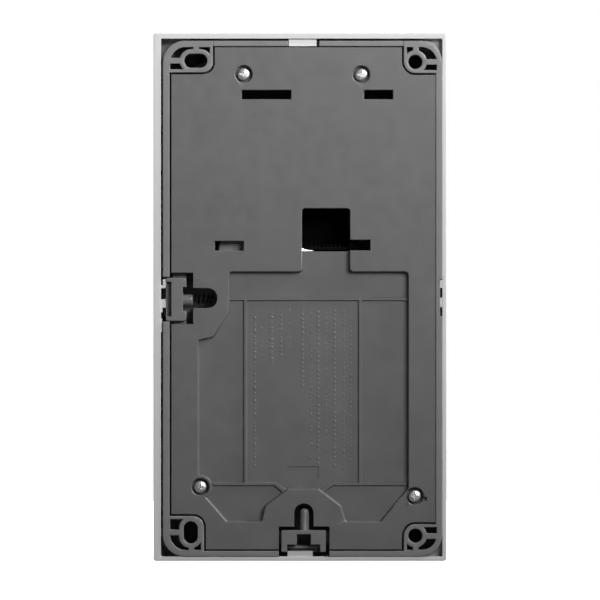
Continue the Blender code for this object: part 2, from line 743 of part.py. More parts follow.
def button_switch():
    x, z = BUTTON
    body = box((x - 3.1, x + 3.1), (-18.4, -20.0), (z - 3.1, z + 3.1))
    return join(body, disc(BUTTON, 1.6, -19.8, -20.55, sides=16))


def speaker_frame():
    """Basket of the loudspeaker: a front ring and a rear cup, open to the magnet."""
    profile = [
        (9.8, -21.0), (9.8, -19.6), (6.6, -17.2), (6.6, -16.6), (5.4, -16.6), (5.4, -17.6),
        (8.6, -20.0), (8.6, -21.0),
    ]
    return turned(profile, SPEAKER, ring=True)


def speaker_cone():
    """Thin diaphragm with its dome."""
    profile = [
        (0.0, -20.5), (2.0, -20.2), (3.0, -19.3), (6.0, -20.3), (8.2, -20.7), (8.2, -20.4),
        (6.0, -20.0), (3.0, -19.0), (2.0, -19.8), (0.0, -20.1),
    ]
    return turned(profile, SPEAKER)


# ---------------------------------------------------------------- electronics

def main_board():
    """Main circuit board, with its holes for the four board screws."""
    board = prism(rectangle(-32.1, 30.7, -49.0, 53.6, 1.0, 3), *BOARD_Y)
    return cut(board, *[disc(at, 1.3, BOSS_Y + 1.0, BOARD_Y[1] - 1.0, sides=12) for at in BOARD_SCREWS])


def jack_housing():
    """Network jack behind the cable opening, its mouth facing the wall."""
    shell = box((CABLE_X[0] - 1.6, CABLE_X[1] + 1.6), (-2.8, BOSS_Y), (10.2, 24.4))
    mouth = (CABLE_X[0] + 0.2, CABLE_X[1] - 0.2)
    return cut(shell, box(mouth, (-1.0, -10.4), (CABLE_Z[0] + 0.1, CABLE_Z[1] - 0.1)))


def jack_contacts():
    """Insulator with the eight spring contacts of the jack standing on it."""
    left, right = CABLE_X[0] + 0.6, CABLE_X[1] - 0.6
    base = box((left, right), (-4.2, -10.0), (12.2, 12.9))
    pitch = 1.02
    middle = (left + right) / 2
    contacts = [
        box((middle + (k - 3.5) * pitch - 0.2, middle + (k - 3.5) * pitch + 0.2), (-4.6, -9.4), (12.6, 13.5))
        for k in range(8)
    ]
    return join(base, *contacts)


def capacitor(x, z, radius, top):
    profile = [
        (radius * 0.9, top), (radius, top - 0.3), (radius, -10.6), (radius * 0.94, -10.9),
        (radius, -11.2), (radius, BOSS_Y),
    ]
    return turned(profile, (x, z))


def flat_flex_cable():
    """Flat cable that folds from the main board up to the front board."""
    strip = prism(rectangle(14.0, 22.0, -13.9, -13.0), BOARD_Y[1] - FIT, -16.6)
    join(strip, box((14.0, 22.0), (-14.9, -15.2), (-13.6, -6.0)))
    return strip


def build():
    for obj in list(bpy.data.objects):
        bpy.data.objects.remove(obj)

    white = material("white_plastic", (0.80, 0.80, 0.80), 0.45)
    grey = material("dark_grey_plastic", (0.13, 0.13, 0.13), 0.55)
    latch_grey = material("latch_plastic", (0.14, 0.14, 0.14), 0.45)
    black = material("black_plastic", (0.02, 0.02, 0.02), 0.5)
    smoked = material("smoked_plastic", (0.01, 0.01, 0.012), 0.08)
    clear = material("clear_plastic", (0.85, 0.88, 0.9), 0.1, 0.0, 0.6)
    milky = material("translucent_plastic", (0.75, 0.75, 0.76), 0.35, 0.0, 0.3)
    glass = material("lens_glass", (0.08, 0.09, 0.13), 0.03, 0.0, 0.4)
    steel = material("steel", (0.62, 0.62, 0.62), 0.3, 1.0)
    brass = material("gold_plated", (0.8, 0.6, 0.25), 0.3, 1.0)
    rubber = material("seal_rubber", (0.03, 0.03, 0.03), 0.8)
    board_green = material("circuit_board", (0.015, 0.03, 0.025), 0.45)
    fabric = material("acoustic_mesh", (0.03, 0.03, 0.03), 0.9)

    body = pivot_empty("doorbell_body", (0.0, 0.0, 0.0))
    button_pivot = (BUTTON[0], -DEPTH + BUTTON_STROKE, BUTTON[1])
    side_pivot = (SIDE_LATCH_X[0], -2.6, -0.7)
    bottom_pivot = (-1.1, -1.9, BOTTOM_LATCH_Z[1])
    button_body = pivot_empty("button_press", button_pivot)
    side_body = pivot_empty("side_latch_slide", side_pivot)
    bottom_body = pivot_empty("bottom_latch_slide", bottom_pivot)

    piece("front_cover", front_cover(), white, body)
    piece("chassis", chassis(), grey, body)
    piece("rear_gasket", rear_gasket(), rubber, body)
    piece("rear_cover", rear_cover(), grey, body)
    piece("front_housing", front_housing(), grey, body)
    for name, (x, z) in REAR_SCREWS.items():
        piece("rear_screw_" + name, cross_screw(x, z, -0.35, -1.2, -9.6), steel, body)
    for k, (x, z) in enumerate(BOARD_SCREWS, 1):
        screw = plain_screw(x, z, -15.2, -13.9, -7.0, 2.0, 0.95)
        piece(f"board_screw_{k}", screw, steel, body)
    for k, (x, z) in enumerate(HOUSING_SCREWS, 1):
        screw = plain_screw(x, z, -23.8, -22.8, -10.5, 1.75, 0.95)
        piece(f"housing_screw_{k}", screw, steel, body)

    piece("side_latch", side_latch(), latch_grey, side_body, side_pivot)
    piece("bottom_latch", bottom_latch(), latch_grey, bottom_body, bottom_pivot)
    coil("side_latch_spring", "X", (SPRING_Y, -0.5), SIDE_CHANNEL_X + 0.7, SIDE_LATCH_X[0] - 0.2,
         1.1, 0.35, 6, steel, body)
    coil("bottom_latch_spring", "Z", (-1.0, SPRING_Y + 0.1), BOTTOM_LATCH_Z[1] + 0.2,
         BOTTOM_CHANNEL_Z - 0.7, 1.1, 0.35, 5, steel, body)

    piece("fascia_panel", fascia_panel(), smoked, body)
    piece("camera_bezel", camera_bezel(), black, body)
    piece("camera_window", camera_window(), clear, body)
    piece("lens_barrel", lens_barrel(), black, body)
    piece("lens_element", lens_element(), glass, body)
    piece("lens_holder", lens_holder(), black, body)
    x, z = CAMERA
    sensor_board = box((x - 10.0, x + 10.0), (-14.4, -15.4), (z - 9.0, z + 9.0))
    piece("image_sensor_board", sensor_board, board_green, body)
    piece("front_board", front_board(), board_green, body)
    for k, at in enumerate(INFRARED, 1):
        piece(f"infrared_lamp_{k}", infrared_lamp(at), clear, body)
    piece("motion_lens", motion_lens(), milky, body)
    piece("motion_sensor", motion_sensor(), steel, body)
    x, z = MICROPHONE
    piece("microphone", box((x - 2.0, x + 2.0), (-18.4, -19.3), (z - 1.5, z + 1.5)), steel, body)
    piece("microphone_boot", microphone_boot(), rubber, body)

    piece("button_cap", button_cap(), white, button_body, button_pivot)
    piece("button_light_ring", button_light_ring(), milky, body)
    piece("button_guide", button_guide(), black, body)
    piece("button_switch", button_switch(), black, body)
    coil("button_spring", "Y", BUTTON, -26.0, -22.1, 6.0, 0.6, 3, steel, body)

    mesh_area = (SPEAKER[0] - 10.0, SPEAKER[0] + 10.0, SPEAKER[1] - 7.8, SPEAKER[1] + 7.8)
    piece("speaker_mesh", prism(rectangle(*mesh_area, 2.0, 3), -24.3, -24.7), fabric, body)
    piece("speaker_gasket", tube(SPEAKER, 8.4, 9.8, -21.3, -21.9), rubber, body)
    piece("speaker_frame", speaker_frame(), black, body)
    piece("speaker_cone", speaker_cone(), black, body)
    piece("speaker_magnet", disc(SPEAKER, 5.1, -13.9, -16.9), steel, body)

    piece("main_board", main_board(), board_green, body)
    piece("jack_housing", jack_housing(), black, body)
    piece("jack_contacts", jack_contacts(), brass, body)
    transformer = box((-15.0, -1.0), (-6.0, BOSS_Y), (-4.0, 8.0))
    piece("network_transformer", transformer, black, body)
    inductor = prism(rectangle(3.0, 13.0, -24.0, -14.0, 1.5, 3), -6.5, BOSS_Y)
    piece("power_inductor", inductor, black, body)
    piece("capacitor_1", capacitor(12.0, 17.0, 5.0, -4.4), black, body)
    piece("capacitor_2", capacitor(12.0, 29.0, 4.0, -4.4), black, body)
    shield = prism(rectangle(-29.0, -13.0, -24.0, 0.0, 0.8, 2), BOARD_Y[1] - FIT, -16.4)
    piece("shield_can", shield, steel, body)
    piece("wifi_antenna", box((-12.0, 8.0), (-21.5, -21.9), (57.0, 61.0)), brass, body)
    piece("flat_flex_cable", flat_flex_cable(), rubber, body)


build()
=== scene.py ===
"""Looks of a wired video doorbell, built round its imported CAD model.

+Z is up, the front faces -Y and the wall side looks towards +Y. Shapes are drawn in millimetres, and
piece() brings them to metres. Every place comes from the frame or from the named sizes below.
"""

import json
import math
from collections import namedtuple

import bmesh
import bpy
from mathutils import Matrix, Vector

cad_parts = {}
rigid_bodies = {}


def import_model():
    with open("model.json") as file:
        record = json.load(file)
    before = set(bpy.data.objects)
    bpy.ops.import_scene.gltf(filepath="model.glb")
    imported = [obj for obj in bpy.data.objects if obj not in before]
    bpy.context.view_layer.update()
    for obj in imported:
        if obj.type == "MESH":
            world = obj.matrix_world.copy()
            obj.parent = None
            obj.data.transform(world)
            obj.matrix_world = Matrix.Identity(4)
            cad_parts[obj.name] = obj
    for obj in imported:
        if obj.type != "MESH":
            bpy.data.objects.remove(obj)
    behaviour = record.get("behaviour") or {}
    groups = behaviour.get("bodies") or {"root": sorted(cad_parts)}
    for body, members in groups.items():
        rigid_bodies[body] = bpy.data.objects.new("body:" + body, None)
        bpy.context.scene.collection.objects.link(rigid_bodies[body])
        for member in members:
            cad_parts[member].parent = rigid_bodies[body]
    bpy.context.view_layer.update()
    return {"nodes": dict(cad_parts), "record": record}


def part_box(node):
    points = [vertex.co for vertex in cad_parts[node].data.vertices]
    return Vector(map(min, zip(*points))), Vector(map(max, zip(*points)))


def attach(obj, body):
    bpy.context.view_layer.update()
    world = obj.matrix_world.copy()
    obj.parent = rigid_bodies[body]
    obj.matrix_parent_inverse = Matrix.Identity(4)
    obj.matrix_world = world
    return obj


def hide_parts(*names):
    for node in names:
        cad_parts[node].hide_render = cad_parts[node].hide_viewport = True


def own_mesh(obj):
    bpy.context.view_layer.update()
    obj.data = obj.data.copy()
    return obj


MM = 0.001
FAR = 80.0  # reach of a cutter that runs out past the whole object
BODY = "doorbell_body"
QUARTER = 8  # segments in a quarter of a small arc
ROUND = 64  # sides of a turned piece

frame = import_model()

Span = namedtuple("Span", "left right front rear bottom top")


def span(node):
    """Box of a CAD node in millimetres."""
    low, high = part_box(node)
    return Span(*[value / MM for value in (low.x, high.x, low.y, high.y, low.z, high.z)])


def centre(node):
    """Middle of a CAD node as (x, z) in millimetres."""
    at = span(node)
    return ((at.left + at.right) / 2, (at.bottom + at.top) / 2)


SHELL = span("front_cover")
FRAME = span("chassis")
COVER = span("rear_cover")
SIDE_LATCH = span("side_latch")
BOTTOM_LATCH = span("bottom_latch")
BEZEL = span("camera_bezel")
FASCIA = span("fascia_panel")
CAMERA = centre("camera_bezel")
MOTION = centre("motion_lens")
MICROPHONE = centre("microphone_boot")
BUTTON = centre("button_cap")
SPEAKER = centre("speaker_mesh")
REAR_SCREWS = {
    name: centre("rear_screw_" + name) for name in ("upper_right", "upper_left", "lower_right", "lower_left")
}
JACK = span("jack_housing")

# Levels along Y
REAR_Y = FRAME.rear  # rear face of the frame, which goes against the wall
RIM_Y = SHELL.rear
COVER_Y = -0.14  # the rear cover lies a little below the frame
LEDGE_Y = -3.8
COVER_INNER_Y = SHELL.front + 1.6
BAY_Y = -10.4  # floor of the two latch bays
BOSS_Y = -11.7  # front end of the walls round the latch bays
EAR_POCKET_Y = -9.0
SCREW_SEAT_Y = -2.1
RECESS_Y = -1.8  # floor of the wire recess
RECESS_RIB_Y = -1.28

# Shell: inner faces of its walls
SHELL_INNER = (-36.42, 35.6, -66.45, 66.15)
SHELL_CORNER = 0.6
CORNER_FLOORS_Y = (-8.4, -3.4, -4.0, -9.6)  # webs in its four corners, in the order of EARS

# Frame: it lies close against the shell at the -X wall and at the bottom
FRAME_AREA = (SHELL_INNER[0] + 0.02, 35.15, SHELL_INNER[2] + 0.02, 65.62)
FRAME_CORNER = 5.6
OPENING = (-34.75, 33.4, -65.0, 64.2)
LEDGE = 2.6

Gap = namedtuple("Gap", "left right bottom top ear")
COVER_GAP = Gap(0.06, 0.42, 0.36, 0.22, 0.44)  # the rear cover lies close against the frame at the -X side

Ear = namedtuple("Ear", "side up x z radius hole_x hole_z slot_x slot_z rib_x rib_z")
EARS = (
    Ear(1, 1, 22.3, 57.5, 2.5, 26.7, 60.5, 1.15, 0.0, 26.6, 60.5),
    Ear(-1, 1, -26.55, 57.3, 2.9, -29.5, 60.2, 0.0, 0.0, -29.65, 60.2),
    Ear(-1, -1, -26.55, -58.1, 3.0, -29.5, -61.1, 0.0, 0.0, -29.6, -61.2),
    Ear(1, -1, 24.6, -56.05, 2.8, 28.0, -60.25, 0.0, 1.05, 27.8, -60.25),
)
HOLE_RADIUS = 1.8
RING_WALL = 1.2
RIB_WIDTH = 1.45
EAR_WALL = 0.8
OUTER_WALL = {"right": 1.9, "left": 1.4, "top": 1.65, "bottom": 1.7}  # frame wall outside the ear pockets

# Latch pockets and channels
SIDE_POCKET_X = 27.4
SIDE_POCKET_Z = (-6.9, 6.2)
SIDE_MOUTH_Z = (-6.3, 5.15)  # cut through the band beside the side latch
SIDE_CHANNEL_X = 21.25
SIDE_CHANNEL_Z = (-2.8, 2.25)
BOTTOM_POCKET_Z = -58.8
BOTTOM_POCKET_X = (-7.5, 5.45)
BOTTOM_CHANNEL_Z = -52.9
BOTTOM_CHANNEL_X = (-3.4, 1.5)
CHANNEL_ROUND = 2.4

# Rear cover
SCREW_SEAT_RADIUS = 2.22
SCREW_HEAD_RADIUS = 1.58

CABLE = (JACK.left + 1.6, JACK.right - 1.6, 11.7, 22.7)
SLOTS = (
    (2.3, 14.9, 50.65, 53.0),
    (-23.8, -16.4, 50.65, 53.0),
    (14.4, 21.8, 11.9, 14.35),
    (-18.0, CABLE[1] - 1.0, 11.95, 14.65),
)

# Low ribs in the wire recess
RIB_TOP_Z = -0.5
RIB_LOW_Z = -47.9
RIB_RIGHT_X = 14.0
RIB_LEFT_X = -15.4

# Springs: wire, radius of the winding, turns and finish
SPRINGS = {
    "side_latch_spring": (0.35, 1.1, 6, "spring_steel"),
    "bottom_latch_spring": (0.35, 1.1, 5, "spring_steel"),
    "button_spring": (0.6, 6.0, 3, "steel"),
}

# Front
FASCIA_FLANGE = 1.5  # how far the smoked panel reaches behind the shell
MOTION_FLANGE = 1.2
BUTTON_RADIUS = 13.0
LIGHT_RING_RADIUS = 15.4
FIT = 0.3
GRILLE_PITCH = 3.0
GRILLE_SLOTS = 5


# ---------------------------------------------------------------- outlines

def outline(*corners, quarter=QUARTER):
    """Closed outline of (x, z) points through corners (x, z) or (x, z, radius)."""
    points = []
    for i, corner in enumerate(corners):
        here = Vector(corner[:2])
        radius = corner[2] if len(corner) > 2 else 0.0
        if radius == 0.0:
            points.append(here)
            continue
        before = (Vector(corners[i - 1][:2]) - here).normalized()
        after = (Vector(corners[(i + 1) % len(corners)][:2]) - here).normalized()
        half = before.angle(after) / 2
        middle = here + (before + after).normalized() * radius / math.sin(half)
        start = here + before * radius / math.tan(half) - middle
        sweep = start.angle_signed(here + after * radius / math.tan(half) - middle)
        steps = max(1, round(quarter * abs(sweep) / (math.pi / 2)))
        points += [middle + Matrix.Rotation(-sweep * k / steps, 2) @ start for k in range(steps + 1)]
    return [p for p, q in zip(points, points[1:] + points[:1]) if (p - q).length > 1e-4]


def rectangle(left, right, bottom, top, radius=0.0, quarter=QUARTER):
    """Rectangle with all its corners rounded alike."""
    return outline(
        (left, bottom, radius), (right, bottom, radius), (right, top, radius), (left, top, radius),
        quarter=quarter,
    )


def slot(x, z, half_x, half_z, radius, quarter=QUARTER):
    """Round hole, stretched by half_x or half_z to each side into a slot."""
    return rectangle(
        x - half_x - radius, x + half_x + radius, z - half_z - radius, z + half_z + radius,
        radius, quarter,
    )


def widened(points, distance):
    """Outline moved outwards by distance, or inwards where it is negative, with mitred corners."""
    around = list(zip(points[-1:] + points[:-1], points, points[1:] + points[:1]))
    area = sum(here.x * after.y - after.x * here.y for _, here, after in around)
    turn = math.copysign(1.0, area)
    moved = []
    for before, here, after in around:
        along, onward = (here - before).normalized(), (after - here).normalized()
        first = Vector((along.y, -along.x)) * turn
        second = Vector((onward.y, -onward.x)) * turn
        moved.append(here + (first + second) * distance / (1.0 + first.dot(second)))
    return moved


def opening_outline(gap):
    """Rear opening of the frame drawn in by the gap of each side, stepping round the four ears."""
    corners = []
    for ear in EARS:
        edge_x = OPENING[1] - gap.right if ear.side > 0 else OPENING[0] + gap.left
        edge_z = OPENING[3] - gap.top if ear.up > 0 else OPENING[2] + gap.bottom
        x = ear.x - ear.side * gap.ear
        z = ear.z - ear.up * gap.ear
        step = [(edge_x, z), (x, z, ear.radius + gap.ear), (x, edge_z)]
        corners += step if ear.side == ear.up else step[::-1]
    return outline(*corners)


def side_pocket(grow, narrow_mouth=False):
    """Pocket and channel of the side latch, open past the +X edge, enlarged by grow."""
    x = SIDE_POCKET_X - grow
    bottom, top = SIDE_POCKET_Z[0] - grow, SIDE_POCKET_Z[1] + grow
    low, high = SIDE_CHANNEL_Z[0] - grow, SIDE_CHANNEL_Z[1] + grow
    end = SIDE_CHANNEL_X - grow
    inner = [(x, top), (x, high), (end, high, CHANNEL_ROUND + grow), (end, low, CHANNEL_ROUND + grow),
             (x, low), (x, bottom)]
    if narrow_mouth:
        edge, (mouth_low, mouth_high) = OPENING[1] - 0.1, SIDE_MOUTH_Z
        return outline(
            (edge, bottom), (edge, mouth_low), (FAR, mouth_low), (FAR, mouth_high), (edge, mouth_high),
            (edge, top), *inner,
        )
    return outline((FAR, bottom), (FAR, top), *inner)


def bottom_pocket(grow):
    """Pocket and channel of the bottom latch, open past the bottom edge, enlarged by grow."""
    z = BOTTOM_POCKET_Z + grow
    left, right = BOTTOM_POCKET_X[0] - grow, BOTTOM_POCKET_X[1] + grow
    low, high = BOTTOM_CHANNEL_X[0] - grow, BOTTOM_CHANNEL_X[1] + grow
    end = BOTTOM_CHANNEL_Z + grow
    return outline(
        (right, -FAR), (right, z), (high, z), (high, end, CHANNEL_ROUND + grow),
        (low, end, CHANNEL_ROUND + grow), (low, z), (left, z), (left, -FAR),
    )


def wire_recess():
    """Shallow recess in the rear cover that takes the wires, with its neck to the cable opening."""
    left, right = CABLE[0] + 0.05, CABLE[1] - 0.05
    return outline(
        (-27.75, 6.5, 1.0), (left, 6.5, 0.9), (left, CABLE[2] + 1.0),
        (right, CABLE[2] + 1.0), (right, 6.5, 0.9), (18.2, 6.5, 0.8), (18.2, -3.7),
        (22.2, -10.1), (26.0, -10.9), (26.0, -47.5), (24.2, -51.2), (18.7, -57.5, 0.5),
        (9.75, -57.5, 0.8), (8.9, -53.5, 1.2), (3.1, -49.2, 0.8), (-4.85, -49.2, 0.8),
        (-10.4, -53.4, 1.2), (-11.6, -57.5, 0.8), (-20.7, -57.5, 0.5), (-27.75, -48.9),
    )


# ---------------------------------------------------------------- solids

def raw_object(bm):
    """Helper object in millimetres with its faces turned outwards."""
    bmesh.ops.recalc_face_normals(bm, faces=bm.faces)
    mesh = bpy.data.meshes.new("shape")
    bm.to_mesh(mesh)
    bm.free()
    obj = bpy.data.objects.new("shape", mesh)
    bpy.context.scene.collection.objects.link(obj)
    return obj


def stack(*levels):
    """Closed solid through outlines of equal length, given as (outline, y)."""
    bm = bmesh.new()
    rows = [[bm.verts.new((p.x, y, p.y)) for p in points] for points, y in levels]
    for row, other in zip(rows, rows[1:]):
        for k in range(len(row)):
            n = (k + 1) % len(row)
            bm.faces.new((row[k], row[n], other[n], other[k]))
    bm.faces.new(rows[0])
    bm.faces.new(rows[-1])
    return raw_object(bm)


def prism(points, rear, front, flare=0.0):
    """Solid between two planes over an outline, which widens by flare towards the rear."""
    return stack((widened(points, flare) if flare else points, rear), (points, front))


def box(x, y, z, flare=0.0):
    """Box between the two values given for each axis."""
    return prism(rectangle(x[0], x[1], z[0], z[1]), y[0], y[1], flare)


def arc_steps(steps):
    return [math.pi / 2 * k / steps for k in range(1, steps + 1)]


def lead(steps):
    """Run to rise of the first facet of a rounded edge."""
    step = math.pi / 2 / steps
    return math.sin(step) / (1 - math.cos(step))


def mouth(points, surface, floor, lip=0.18, steps=3, draft=0.0):
    """Cutter for a hole or pocket, rounding its edge at the surface by lip. The walls close in by draft."""
    way = 1.0 if surface > floor else -1.0
    levels = [(widened(points, lip + 0.03 * lead(steps)), surface + 0.03 * way)]
    levels += [
        (widened(points, lip * (1 - math.sin(a))), surface - way * lip * (1 - math.cos(a)))
        for a in arc_steps(steps)
    ]
    return stack(*levels, (widened(points, -draft), floor))


def crest(points, surface, foot, lip=0.18, steps=3):
    """What to keep from a pocket cutter for a wall or rib whose edges at the surface are rounded by lip."""
    way = 1.0 if surface > foot else -1.0
    levels = [(widened(points, -lip - 0.04 * lead(steps)), surface + 0.04 * way)]
    levels += [
        (widened(points, -lip * (1 - math.sin(a))), surface - way * lip * (1 - math.cos(a)))
        for a in arc_steps(steps)
    ]
    return stack(*levels, (points, foot))


def rounded(points, rear, front, rear_round, front_round, steps=4):
    """Solid between two planes, with its rear and front edges rounded."""
    turns = [math.pi / 2 * k / steps for k in range(steps + 1)]
    levels = [
        (widened(points, -rear_round * (1 - math.sin(a))), rear - rear_round * (1 - math.cos(a)))
        for a in turns
    ]
    levels += [
        (widened(points, -front_round * (1 - math.cos(a))), front + front_round * (1 - math.sin(a)))
        for a in turns
    ]
    return stack(*levels)


def turned(profile, at, axis="Y", sides=ROUND, ring=False):
    """Turned solid. profile holds (radius, distance along the axis), and a ring closes on itself."""
    bm = bmesh.new()
    rows = []
    for radius, along in profile:
        row = []
        for k in range(sides if radius > 0 else 1):
            angle = 2 * math.pi * k / sides
            a = at[0] + radius * math.cos(angle)
            b = at[1] + radius * math.sin(angle)
            place = {"X": (along, a, b), "Y": (a, along, b), "Z": (a, b, along)}[axis]
            row.append(bm.verts.new(place))
        rows.append(row)
    pairs = list(zip(rows, rows[1:]))
    if ring:
        pairs.append((rows[-1], rows[0]))
    for row, other in pairs:
        for k in range(sides):
            corners = [row[k % len(row)], row[(k + 1) % len(row)]]
            corners += [other[(k + 1) % len(other)], other[k % len(other)]]
            bm.faces.new(dict.fromkeys(corners))
    if not ring:
        for row in (rows[0], rows[-1]):
            if len(row) > 1:
                bm.faces.new(row)
    return raw_object(bm)


def rounded_post(at, radius, top, foot, lip=0.2):
    """Crest of a round post."""
    return crest(slot(*at, 0.0, 0.0, radius, 12), top, foot, lip)


def disc(at, radius, rear, front, sides=ROUND):
    """Round plate or shaft along Y."""
    return turned([(radius, rear), (radius, front)], at, sides=sides)


def combine(body, tools, operation):
    """Applies one Boolean for each tool to the body and removes the tools."""
    for tool in tools:
        modifier = body.modifiers.new(operation, "BOOLEAN")
        modifier.operation = operation
        modifier.solver = "EXACT"
        modifier.object = tool
    bpy.context.view_layer.update()
    evaluated = body.evaluated_get(bpy.context.evaluated_depsgraph_get())
    mesh = bpy.data.meshes.new_from_object(evaluated)
    body.modifiers.clear()
    body.data = mesh
    for tool in tools:
        bpy.data.objects.remove(tool)
    return body


def cut(body, *tools):
    return combine(body, tools, "DIFFERENCE")


def join(body, *tools):
    return combine(body, tools, "UNION")


# ---------------------------------------------------------------- materials

def new_material(name):
    made = bpy.data.materials.new("finish_" + name)
    made.use_nodes = True
    return made, made.node_tree, made.node_tree.nodes["Principled BSDF"]


def add_node(tree, kind, **values):
    """Adds a node, setting its sockets by name and its own options by attribute."""
    made = tree.nodes.new(kind)
    for name, value in values.items():
        label = name.replace("_", " ").title()
        if label in made.inputs:
            made.inputs[label].default_value = value
        else:
            setattr(made, name, value)
    return made


def place_of(tree, stretch=(1.0, 1.0, 1.0)):
    """Object coordinates in millimetres, stretched along the axes."""
    coordinates = add_node(tree, "ShaderNodeTexCoord")
    mapping = add_node(tree, "ShaderNodeMapping")
    mapping.inputs["Scale"].default_value = [s / MM for s in stretch]
    tree.links.new(coordinates.outputs["Object"], mapping.inputs["Vector"])
    return mapping.outputs["Vector"]


def noise(tree, place, size, detail=2.0):
    """Noise whose features are about size millimetres wide."""
    made = add_node(tree, "ShaderNodeTexNoise", scale=1.0 / size, detail=detail)
    tree.links.new(place, made.inputs["Vector"])
    return made.outputs["Fac"]


def spread(tree, value, low, high):
    """Brings a noise value to the range from low to high."""
    made = add_node(tree, "ShaderNodeMapRange", from_min=0.3, from_max=0.7, to_min=low, to_max=high)
    tree.links.new(value, made.inputs["Value"])
    return made.outputs["Result"]


def shade(tree, shader, value, colour, variation):
    """Colour that wanders by the given share either way with a noise value."""
    ramp = add_node(tree, "ShaderNodeValToRGB")
    for element, place, share in zip(ramp.color_ramp.elements, (0.3, 0.7), (1 - variation, 1 + variation)):
        element.position = place
        element.color = (*[c * share for c in colour], 1.0)
    tree.links.new(value, ramp.inputs["Fac"])
    tree.links.new(ramp.outputs["Color"], shader.inputs["Base Color"])


def relief(tree, shader, height, depth, strength=1.0, under=None):
    """Bump of the given depth in millimetres."""
    bump = add_node(tree, "ShaderNodeBump", strength=strength, distance=depth * MM)
    tree.links.new(height, bump.inputs["Height"])
    if under is not None:
        tree.links.new(under, bump.inputs["Normal"])
    tree.links.new(bump.outputs["Normal"], shader.inputs["Normal"])
    return bump.outputs["Normal"]


def moulded(name, colour, roughness, variation=0.05, grain=0.010, grain_size=0.16, flow=14.0, specular=0.5):
    """Moulded plastic: spark-eroded grain, cloudy flow marks and uneven gloss."""
    made, tree, shader = new_material(name)
    place = place_of(tree)
    clouds = noise(tree, place, flow, 3.0)
    shade(tree, shader, clouds, colour, variation)
    sheen = noise(tree, place, 3.5, 4.0)
    tree.links.new(spread(tree, sheen, roughness - 0.06, roughness + 0.06), shader.inputs["Roughness"])
    waves = relief(tree, shader, clouds, 0.02, 0.4)
    relief(tree, shader, noise(tree, place, grain_size, 1.0), grain, 0.8, waves)
    shader.inputs["Specular IOR Level"].default_value = specular
    return made


def polished(name, colour, roughness, transmission=0.0, coat=0.0):
    """Polished plastic or glass with a trace of ripple and dust-like haze."""
    made, tree, shader = new_material(name)
    place = place_of(tree)
    shade(tree, shader, noise(tree, place, 9.0), colour, 0.04)
    haze = spread(tree, noise(tree, place, 1.2, 5.0), max(0.01, roughness * 0.6), roughness * 1.4)
    tree.links.new(haze, shader.inputs["Roughness"])
    relief(tree, shader, noise(tree, place, 6.0), 0.004, 0.5)
    shader.inputs["Transmission Weight"].default_value = transmission
    shader.inputs["Coat Weight"].default_value = coat
    return made


def metal(name, colour, roughness, grain=(1.0, 1.0, 1.0), variation=0.12):
    """Plated metal with fine scratches and dull patches."""
    made, tree, shader = new_material(name)
    shader.inputs["Metallic"].default_value = 1.0
    place = place_of(tree, grain)
    shade(tree, shader, noise(tree, place, 0.8, 4.0), colour, variation)
    scratches = noise(tree, place, 0.25, 3.0)
    tree.links.new(spread(tree, scratches, roughness - 0.08, roughness + 0.1), shader.inputs["Roughness"])
    relief(tree, shader, scratches, 0.006, 0.6)
    return made


def laminate(name, colour):
    """Circuit board: solder mask over a net of copper tracks."""
    made, tree, shader = new_material(name)
    place = place_of(tree)
    tracks = add_node(
        tree, "ShaderNodeTexBrick", scale=0.5, mortar_size=0.06, brick_width=1.9, row_height=0.8,
    )
    tracks.inputs["Color1"].default_value = (*colour, 1.0)
    tracks.inputs["Color2"].default_value = (*[c * 1.5 for c in colour], 1.0)
    tracks.inputs["Mortar"].default_value = (*[c * 3.0 for c in colour], 1.0)
    turn = add_node(tree, "ShaderNodeVectorRotate", rotation_type="X_AXIS", angle=math.pi / 2)
    tree.links.new(place, turn.inputs["Vector"])
    tree.links.new(turn.outputs["Vector"], tracks.inputs["Vector"])
    tree.links.new(tracks.outputs["Color"], shader.inputs["Base Color"])
    relief(tree, shader, tracks.outputs["Fac"], 0.03, 0.6)
    tree.links.new(spread(tree, noise(tree, place, 1.0), 0.35, 0.5), shader.inputs["Roughness"])
    return made


def woven(name, colour):
    """Fine acoustic mesh: two crossed waves of thread."""
    made, tree, shader = new_material(name)
    place = place_of(tree)
    threads = []
    for direction in ("X", "Z"):
        wave = add_node(tree, "ShaderNodeTexWave", scale=2.6, wave_type="BANDS", bands_direction=direction)
        tree.links.new(place, wave.inputs["Vector"])
        threads.append(wave.outputs["Fac"])
    height = add_node(tree, "ShaderNodeMath", operation="MULTIPLY")
    tree.links.new(threads[0], height.inputs[0])
    tree.links.new(threads[1], height.inputs[1])
    shade(tree, shader, height.outputs["Value"], colour, 0.6)
    relief(tree, shader, height.outputs["Value"], 0.1)
    tree.links.new(spread(tree, noise(tree, place, 0.6), 0.75, 0.95), shader.inputs["Roughness"])
    return made


